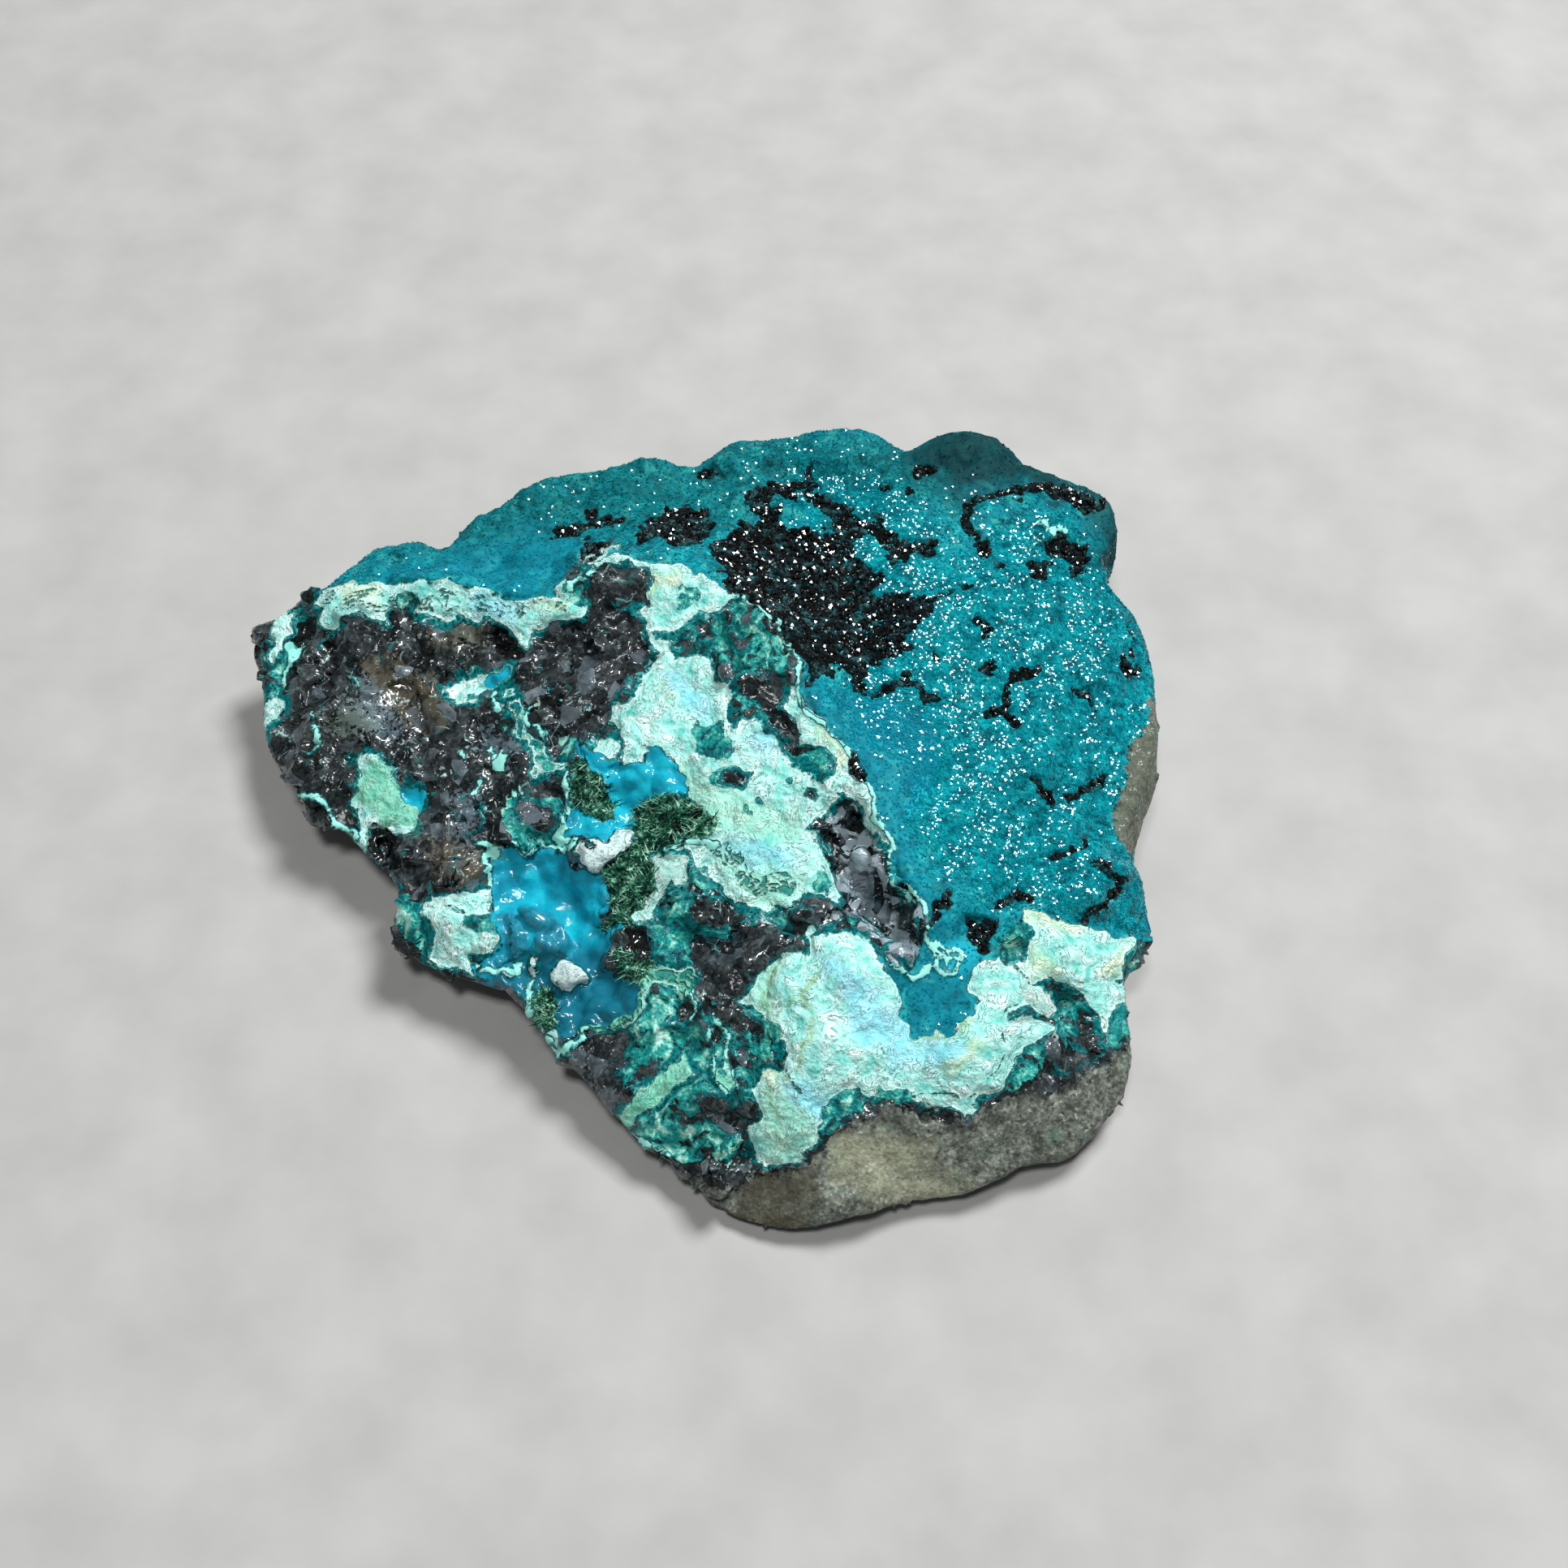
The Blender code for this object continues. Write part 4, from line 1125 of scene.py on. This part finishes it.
def matrix_finish(tree, p):
    """Dark copper pitch: blue-grey chips, some of them glassy, with a few thin veins and a painted
    sheen.
    """
    grain = mixture(tree, 0.3, mean_of(tree, p.wide_shade, p.middle), p.small_shade)
    shade = graded(tree, grain, (0.25, "#14181A"), (0.45, "#282E30"), (0.62, "#40484A"),
                   (0.78, "#667073"))
    shade = stained(tree, shade, ("#7B8D86", "grey_stain", p.grains, 0.4, 0.55),
                    ("#6A6450", "brown_stain", p.grains, 0.5, 0.5),
                    ("#7C97A6", "blue_specks", p.grains, 0.3, 0.35),
                    # painted highlights: light slate over half the wide chips under the crest
                    ("#B4C6D0", "hollow", p.chips, 0.5, 0.85))
    shade = tinted(tree, shade, "#1B7577", remap(tree, p.swirl, 0.64, 0.7, 0.0, 0.6))
    crack = add(tree, "TexVoronoi", {"Vector": p.place, "Scale": 1 / VEIN_SPACING},
                feature="DISTANCE_TO_EDGE")[0]
    vein = combine(tree, "MULTIPLY", remap(tree, crack, 0.02, 0.008),
                   remap(tree, p.swirl, 0.56, 0.58))
    shade = tinted(tree, shade, "#728E8E", vein)
    crumb = combine(tree, "MULTIPLY", p.small_shade, p.middle)
    crumbly = combine(tree, "MULTIPLY", remap(tree, crumb, 0.52, 0.56),
                      remap(tree, p.broad, 0.46, 0.54))
    shade = tinted(tree, shade, "#9CC0B9", crumbly)
    # painted sheen: a lighter blue-grey on the palest wide chips
    shade = tinted(tree, shade, "#56646E", remap(tree, p.wide_shade, 0.82, 0.9, 0.0, 0.5))
    height = combine(tree, "MULTIPLY_ADD", p.small_facets, 0.4, p.wide_facets)
    glassy = remap(tree, p.wide_shade, 0.3, 0.45)
    return shade, remap(tree, p.wide_shade, 0.0, 1.0, 0.12, 0.45), height, glassy


def teal_finish(tree, p):
    """Mottled blue-green stain that soaks the matrix in streaks."""
    shade = graded(tree, mixture(tree, 0.2, p.swirl, p.fine), (0.35, "#1E3A40"), (0.41, "#0C6268"),
                   (0.47, "#0A8386"), (0.53, "#25A599"), (0.58, "#74CCBA"), (0.64, "#BDEFE2"))
    return shade, 0.35, combine(tree, "MULTIPLY_ADD", p.fine, 0.25, p.small_facets), 0.3


def pale_finish(tree, p):
    """Chalky pale chrysocolla, laid down in thin bands that follow its borders."""
    shade = graded(tree, mean_of(tree, p.swirl, p.middle), (0.36, "#66CFC4"), (0.44, "#98E6DC"),
                   (0.52, "#BEF6EE"), (0.6, "#DCFEF7"), (0.68, "#F3FFFC"))
    shade = tinted(tree, shade, "#5DBBB6", remap(tree, p.fine, 0.42, 0.3, 0.0, 0.4))
    depth = attribute(tree, "pale")
    rim = remap(tree, combine(tree, "ADD", depth, p.torn), 0.5, 0.1, 0.0, 0.35)
    shade = tinted(tree, shade, "#F2FFFD", rim)
    layers = weighted(tree, (p.swirl, 9.0), (depth, 1.3), (p.middle, 0.8))
    layers = combine(tree, "PINGPONG", layers, 0.5)
    line = combine(tree, "MULTIPLY", remap(tree, layers, 0.11, 0.02),
                   remap(tree, p.middle, 0.42, 0.56))
    shade = tinted(tree, shade, "#4FB3AB", line)
    shade = stained(tree, shade, ("#6FD2B0", "jade_tint", p.spread, 0.6, 0.75),
                    ("#A2E6CA", "green_tint", p.spread, 1.0, 0.55),
                    ("#E6F0B4", "yellow_stain", p.ragged, 0.8, 0.45),
                    ("#84DDF4", "blue_stain", p.spread, 0.8, 0.6),
                    ("#8CB874", "green_stain", p.torn, 0.25, 0.6),
                    ("#B4CAC2", "grey_stain", p.spread, 0.5, 0.5))
    return shade, 0.5, weighted(tree, (p.middle, 0.5), (p.fine, 0.22), (line, -0.1)), 0.0


def blue_finish(tree, p):
    """Waxy blue chrysocolla with a fine grain, and painted shade darkening the low part of the pocket.
    """
    shade = graded(tree, mean_of(tree, p.broad, p.middle), (0.36, "#00829C"), (0.46, "#009FBC"),
                   (0.55, "#00B2CE"), (0.65, "#14C2D6"))
    # painted shade over the pocket's low part
    shade = stained(tree, shade, ("#00657C", "painted_shade_low_pocket", p.ragged, 1.0, 0.9))
    return shade, 0.7, weighted(tree, (p.fine, 0.05), (p.small_facets, 0.12)), 0.6


def host_finish(tree, p):
    """Host rock: fine grey grains, greenish and brown in patches."""
    grain = weighted(tree, (p.small_shade, 0.14), (p.middle, 0.45), (p.fine, 0.41))
    shade = graded(tree, grain, (0.36, "#41463F"), (0.45, "#5A6059"), (0.55, "#787E75"),
                   (0.66, "#A2A89C"))
    shade = tinted(tree, shade, "#7E9C8A", remap(tree, p.swirl, 0.52, 0.64, 0.0, 0.4))
    shade = stained(tree, shade, ("#4E4838", "brown_stain", p.ragged, 2.5, 0.8),
                    ("#C3C6A6", "tan_stain", p.spread, 2.5, 0.55),
                    ("#5B6050", "strip", p.ragged, 1.0, 0.65))
    sparkle = remap(tree, p.small_shade, 0.8, 0.85, 0.0, 0.8)
    return shade, 0.55, combine(tree, "MULTIPLY_ADD", p.fine, 0.16, p.small_facets), sparkle


def crust_finish(tree, p):
    """The plateau's crust: blue-green, all small flat faces where it sparkles."""
    grain = mixture(tree, 0.3, mean_of(tree, p.swirl, p.middle), p.fine)
    grain = combine(tree, "MULTIPLY_ADD", p.small_shade, 0.1, grain)
    shade = graded(tree, grain, (0.43, "#005C68"), (0.51, "#007C8A"), (0.58, "#008F9D"),
                   (0.65, "#04A6B0"), (0.72, "#1CBCC4"))
    shade = tinted(tree, shade, "#4CBFAE", remap(tree, p.swirl, 0.54, 0.68, 0.0, 0.55))
    shade = tinted(tree, shade, "#00484C", remap(tree, p.middle, 0.44, 0.3, 0.0, 0.6))
    shade = stained(tree, shade, ("#007F98", "smooth", p.ragged, 2.0, 0.5),
                    # painted shade: the plateau's back top and back lobe are darkened
                    ("#005048", "dim", p.spread, 2.0, 0.45),
                    ("#002E32", "painted_shade_lobe", p.ragged, 2.0, 0.9),
                    ("#12B4CC", "glow", p.ragged, 0.6, 0.8))
    sparkling = share_of(tree, "sparkling", p.ragged, 1.0, 1.5)
    height = combine(tree, "MULTIPLY", p.small_facets, remap(tree, sparkling, 0.0, 1.0, 0.25, 0.35))
    return shade, 0.75, combine(tree, "MULTIPLY_ADD", p.fine, 0.08, height), 0.0


def simple_finishes(tree, p):
    """The finishes of one colour or two, each a colour, a roughness, a height in mm and a gloss."""
    return {
        "halo": (graded(tree, p.fine, (0.38, "#00474F"), (0.6, "#007C7E")), 0.35, 0.04, 0.3),
        "clear_halo": (graded(tree, p.fine, (0.38, "#0A8F90"), (0.6, "#4CC4BA")), 0.4, 0.04, 0.0),
        "band": (colour("#22887C"), 0.5, -0.1, 0.0),
        "malachite": (graded(tree, p.fine, (0.32, "#0D1F17"), (0.45, "#1E4B37"), (0.56, "#35876A"),
                             (0.66, "#9AD3B4")), 0.5, weighted(tree, (p.fine, 0.5)), 0.0),
        "boss": (graded(tree, p.fine, (0.35, "#0E7A94"), (0.65, "#2C92A8")), 0.4, 0.05, 0.8),
        "rind": (colour("#9FF0E4"), 0.55, 0.1, 0.0),
        "tenorite": (graded(tree, p.fine, (0.4, "#070808"), (0.7, "#25282A")), 0.15,
                     p.small_facets, 1.0),
    }


def rock_material():
    """Chrysocolla, copper pitch, malachite and their host rock, as broken and as grown.

    Matt chalky turquoise, dull dark matrix with a fine sparkle, waxy blue bosses and a wet-looking
    blue-green crust lie beside each other with crisp, uneven borders.
    """
    material, tree, shader = new_material("natural_chrysocolla_and_host_rock")
    p = rock_patterns(tree)
    finishes = simple_finishes(tree, p)
    for name, finish in (("matrix", matrix_finish), ("teal", teal_finish), ("pale", pale_finish),
                         ("blue", blue_finish), ("host", host_finish), ("crust", crust_finish)):
        finishes[name] = finish(tree, p)
    white = graded(tree, p.fine, (0.3, "#A9D2D0"), (0.5, "#D9F0EF"))
    finishes["white"] = (white, 0.45, finishes["pale"][2], 0.0)

    look = finishes["matrix"]
    for mineral, uneven, finish, *border in LAYERS:
        look = lay(tree, look, share_of(tree, mineral, getattr(p, uneven), *border), finishes[finish])
    bump = add(tree, "Bump", {"Height": look[2], "Strength": 1.0, "Distance": MM})[0]
    wire(tree, shader, {"Base Color": look[0], "Roughness": look[1], "Coat Weight": look[3],
                        "Normal": bump, "Coat Normal": bump, "IOR": GLAZE_IOR})
    return material


def crystal_material():
    """Drusy quartz over chrysocolla: tiny glassy points, blue-green from what they grow on."""
    material, tree, shader = new_material("drusy_quartz_over_chrysocolla")
    place = millimetres(tree)
    grain = mixture(tree, 0.35, clouds(tree, place, 2.5, 3.0), attribute(tree, "tone"))
    shade = graded(tree, grain, (0.3, "#005864"), (0.45, "#00808E"), (0.57, "#00939F"),
                   (0.7, "#0CB0BA"))
    shade = tinted(tree, shade, "#007F98", attribute(tree, "clear"))
    # painted shade: darker over the plateau's back lobe and back top
    shade = tinted(tree, shade, "#002E32", attribute(tree, "dim"))
    frost = clouds(tree, place, 0.3)
    wire(tree, shader, {"Base Color": shade, "Roughness": remap(tree, frost, 0.0, 1.0, 0.03, 0.08),
                        "IOR": QUARTZ_IOR})
    return material


def bead_material():
    """Botryoidal tenorite: jet black with a vitreous skin that throws white points of light."""
    material, tree, shader = new_material("botryoidal_tenorite")
    patches = clouds(tree, millimetres(tree), 1.5)
    shade = graded(tree, patches, (0.45, "#080909"), (0.57, "#14282B"), (0.7, "#2F6466"))
    wire(tree, shader, {"Base Color": shade, "Roughness": remap(tree, patches, 0.0, 1.0, 0.03, 0.1),
                        "IOR": TENORITE_IOR})
    return material


def fibre_material():
    """Malachite: silky dark green needles, paler in noise patches: partly pale fibres, partly painted
    highlights.
    """
    material, tree, shader = new_material("fibrous_malachite")
    strands = clouds(tree, millimetres(tree), 1.2, 4.0)
    shade = graded(tree, strands, (0.38, "#08251E"), (0.48, "#1A5F4A"), (0.55, "#459A7B"),
                   (0.63, "#B5E6CB"))
    wire(tree, shader, {"Base Color": shade, "Roughness": remap(tree, strands, 0.0, 1.0, 0.2, 0.4)})
    return material


# ---------------------------------------------------------------- small crystals on the rock

def triangles_of(mesh):
    """Corner indices of the mesh's triangles."""
    mesh.calc_loop_triangles()
    corners = np.empty(len(mesh.loop_triangles) * 3, np.int32)
    mesh.loop_triangles.foreach_get("vertices", corners)
    return corners.reshape(-1, 3)


def scatter(rock, density, spacing, rng):
    """Places on the rock about spacing apart, where density is 1, with their normals and vertex."""
    places, normals = points_of(rock.data)
    corners = triangles_of(rock.data)
    sides = places[corners]
    area = np.linalg.norm(np.cross(sides[:, 1] - sides[:, 0], sides[:, 2] - sides[:, 0]), axis=1)
    chance = area * density[corners].mean(axis=1)
    draws = int(3 * area.sum() / 2 / (spacing * MM) ** 2)
    picked = corners[rng.choice(len(corners), draws, p=chance / chance.sum())]
    weights = rng.dirichlet((1, 1, 1), draws)[:, :, None]
    where = (places[picked] * weights).sum(axis=1)
    upright = (normals[picked] * weights).sum(axis=1)
    cells = np.floor(where / (spacing * MM)).astype(int)
    kept = np.sort(np.unique(cells, axis=0, return_index=True)[1])
    kept = kept[rng.random(len(kept)) < density[picked[kept, 0]]]
    return where[kept], upright[kept], picked[kept, 0]


def turns_about(normals, tilt, rng, towards=0.0):
    """A rotation for each normal: leaned one way, then by up to tilt degrees, and spun at random."""
    lean = normals / np.linalg.norm(normals, axis=1)[:, None] + towards
    lean += math.tan(math.radians(tilt)) * rng.uniform(-1, 1, lean.shape)
    lean /= np.linalg.norm(lean, axis=1)[:, None]
    side = np.cross(lean, rng.normal(size=lean.shape))
    side /= np.linalg.norm(side, axis=1)[:, None]
    return np.stack((side, np.cross(lean, side), lean), axis=2)


def strew(name, model, places, turns, sizes, material):
    """Copies one small shape to many places, as one mesh."""
    points, _ = points_of(model.data)
    count = len(points)
    moved = places[:, None, :] + np.einsum("nij,nkj->nki", turns, sizes[:, None, :] * points)
    faces = [tuple(face.vertices) for face in model.data.polygons]
    copies = [tuple(v + count * n for v in face) for n in range(len(places)) for face in faces]
    mesh = bpy.data.meshes.new(name)
    mesh.from_pydata(moved.reshape(-1, 3).tolist(), [], copies)
    mesh.materials.append(material)
    piece = bpy.data.objects.new(name, mesh)
    bpy.context.collection.objects.link(piece)
    bpy.data.objects.remove(model)
    return piece


def cone_model(sides, root, top, length, middle):
    """A cone with radii at its root and top, its middle at some height."""
    bpy.ops.object.select_all(action="DESELECT")
    bpy.ops.mesh.primitive_cone_add(vertices=sides, radius1=root, radius2=top, depth=length,
                                    location=(0, 0, middle))
    model = bpy.context.object
    bpy.ops.object.transform_apply(location=True, rotation=False, scale=False)
    return model


def bead_model():
    """A small faceted bead, 1 across, one of its faces turned straight up."""
    bpy.ops.object.select_all(action="DESELECT")
    bpy.ops.mesh.primitive_ico_sphere_add(subdivisions=1, radius=0.5)
    model = bpy.context.object
    # The small part of x settles which of the equally high faces is taken.
    face = max(model.data.polygons, key=lambda face: face.normal.z + 0.01 * face.normal.x)
    for angle, axis in ((math.atan2(face.normal.y, face.normal.x), "Z"),
                        (math.acos(face.normal.z), "Y")):
        bpy.ops.transform.rotate(value=angle, orient_axis=axis, orient_type="GLOBAL",
                                 center_override=(0, 0, 0))
        bpy.ops.object.transform_apply(location=True, rotation=True, scale=False)
    return model


FACE_BEARING = math.radians(123)    # where the crystals' faces lean to, from +Y towards +X
FACE_LEAN = math.tan(math.radians(12)) * np.array((math.sin(FACE_BEARING), math.cos(FACE_BEARING), 0))

# Each kind's spacing, least and most length, lift off the rock, all in mm, its tilt in degrees, its
# lean and its proportions.
QUARTZ = SimpleNamespace(spacing=0.24, length=(0.32, 0.5), lift=0.08, tilt=16, lean=FACE_LEAN,
                         proportions=(1.0, 1.0, 1.0))
TENORITE = SimpleNamespace(spacing=0.58, length=(0.5, 1.0), lift=0.1, tilt=18, lean=FACE_LEAN,
                           proportions=(1.0, 1.0, 1.0))
MALACHITE = SimpleNamespace(spacing=0.4, length=(0.8, 2.0), lift=-0.1, tilt=55, lean=0.0,
                            proportions=(0.16, 0.16, 1.0))
FLANK_SHARE = 0.03                  # the share of the crystals on flanks that the camera doesn't see
DULL_SHARE = 0.15                   # and where the plateau hardly sparkles
SMOOTH_LOSS = 0.5
CRACK_SHARE = 0.8                   # the share of the beads along the cracks

# Where crystals are missing: the mineral, the depths between which it comes in, and their share.
GAPS = (("beads", -0.3, 0.2, 0.85), ("painted_shade_lobe", -1.0, 1.0, 0.7), ("black", -0.3, 0.0, 1.0))


def grow(name, kind, model, material, rock, density, rng):
    """One piece with all the crystals of a kind, and the rock's vertex that each stands by."""
    places, normals, near = scatter(rock, density, kind.spacing, rng)
    lengths = rng.uniform(*kind.length, len(places)) * MM
    turns = turns_about(normals, kind.tilt, rng, kind.lean)
    places = places + kind.lift * MM * normals
    return strew(name, model, places, turns, np.outer(lengths, kind.proportions), material), near


def crystals(rock, depths, rng):
    """Quartz points all over the plateau, thickest on its right half.

    Each is the flat three-sided face of a crystal, its root drawn down to a point.
    """
    crust = within(depths, "crust", 0.1, 0.5) * (1 - within(depths, "rind", -0.2, 0.0))
    clear = (1 - SMOOTH_LOSS * within(depths, "smooth", -1.5, 1.5)) * depths["seen"]
    rich = DULL_SHARE + (1 - DULL_SHARE) * within(depths, "sparkling", -2.5, 1.5)
    density = crust * (FLANK_SHARE + (1 - FLANK_SHARE) * clear * rich)
    for mineral, low, high, lost in GAPS:
        density *= 1 - lost * within(depths, mineral, low, high)
    model = cone_model(sides=3, root=0.0, top=0.5, length=0.5, middle=-0.25)
    piece, near = grow("drusy_quartz_points", QUARTZ, model, crystal_material(), rock, density, rng)
    looks = {"tone": rng.random(len(rock.data.vertices)),
             # painted shade of the back lobe and back top, for the crystals
             "dim": np.maximum(0.9 * within(depths, "painted_shade_lobe", -2, 2), 0.4 * within(depths, "dim", -2, 2)),
             "clear": 0.8 * within(depths, "smooth", -1, 1)}
    each = len(piece.data.vertices) // len(near)
    for look, shares in looks.items():
        layer = piece.data.attributes.new(look, "FLOAT", "POINT")
        layer.data.foreach_set("value", np.repeat(shares[near], each).astype(np.float32))
    return piece


def beads(rock, depths, rng):
    """Black beads over the bead field, its patches and the cracks."""
    cracks = CRACK_SHARE * within(depths, "black", -0.1, 0.2) * within(depths, "crust", 0.0, 0.5)
    density = np.maximum(within(depths, "beads", -0.2, 0.3), cracks) * depths["seen"]
    return grow("tenorite_beads", TENORITE, bead_model(), bead_material(), rock, density, rng)[0]


def needles(rock, depths, rng):
    """Malachite fibres, leaning every way, over the green patches."""
    density = within(depths, "green", -0.1, 0.2) * depths["seen"]
    model = cone_model(sides=5, root=0.5, top=0.0, length=1.0, middle=0.5)
    return grow("malachite_needles", MALACHITE, model, fibre_material(), rock, density, rng)[0]


# ---------------------------------------------------------------- floor, lights and camera

def add_floor():
    """A plain pale floor of fine plaster."""
    bpy.ops.object.select_all(action="DESELECT")
    bpy.ops.mesh.primitive_plane_add(size=FLOOR_SIZE * MM)
    floor = bpy.context.object
    floor.name = "floor"
    material, tree, shader = new_material("smooth_pale_plaster")
    shade = graded(tree, clouds(tree, millimetres(tree), 12.0, 3.0), (0.3, "#B2B2B0"),
                   (0.7, "#BEBEBC"))
    wire(tree, shader, {"Base Color": shade, "Roughness": 0.85})
    floor.data.materials.append(material)


def add_light(name, turn, elevation, distance, size, watts):
    """A square area light aimed at the rock."""
    away = Vector((math.sin(turn) * math.cos(elevation), math.cos(turn) * math.cos(elevation),
                   math.sin(elevation)))
    data = bpy.data.lights.new(name, "AREA")
    data.energy = watts
    data.size = size * MM
    light = bpy.data.objects.new(name, data)
    light.location = (CAMERA_TARGET + away * distance) * MM
    light.rotation_euler = away.to_track_quat("Z", "Y").to_euler()
    bpy.context.collection.objects.link(light)


def add_sky():
    """Even light from all round."""
    world = bpy.data.worlds.new("soft_room")
    world.use_nodes = True
    tree = world.node_tree
    wire(tree, tree.nodes["Background"], {"Color": colour("#F4F6F8"), "Strength": SKY_STRENGTH})
    bpy.context.scene.world = world


def add_camera():
    """The camera that looks down on the rock from the front."""
    data = bpy.data.cameras.new("camera")
    data.lens = LENS
    data.sensor_width = SENSOR
    camera = bpy.data.objects.new("camera", data)
    camera.location = (CAMERA_TARGET + Vector(TO_CAMERA) * CAMERA_DISTANCE) * MM
    camera.rotation_euler = (math.pi / 2 - CAMERA_ELEVATION, 0, 0)
    bpy.context.collection.objects.link(camera)
    bpy.context.scene.camera = camera


rng = np.random.default_rng(SEED)
rock, depths = fine_rock(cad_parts[NODE])
rock.data.materials.append(rock_material())
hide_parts(NODE)
for piece in (rock, crystals(rock, depths, rng), beads(rock, depths, rng),
              needles(rock, depths, rng)):
    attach(piece, "root")
add_floor()
add_light("key", KEY_TURN, KEY_ELEVATION, KEY_DISTANCE, KEY_SIZE, KEY_WATTS)
add_light("fill", FILL_TURN, FILL_ELEVATION, FILL_DISTANCE, FILL_SIZE, FILL_WATTS)
add_sky()
add_camera()
bpy.context.scene.view_settings.view_transform = "Standard"
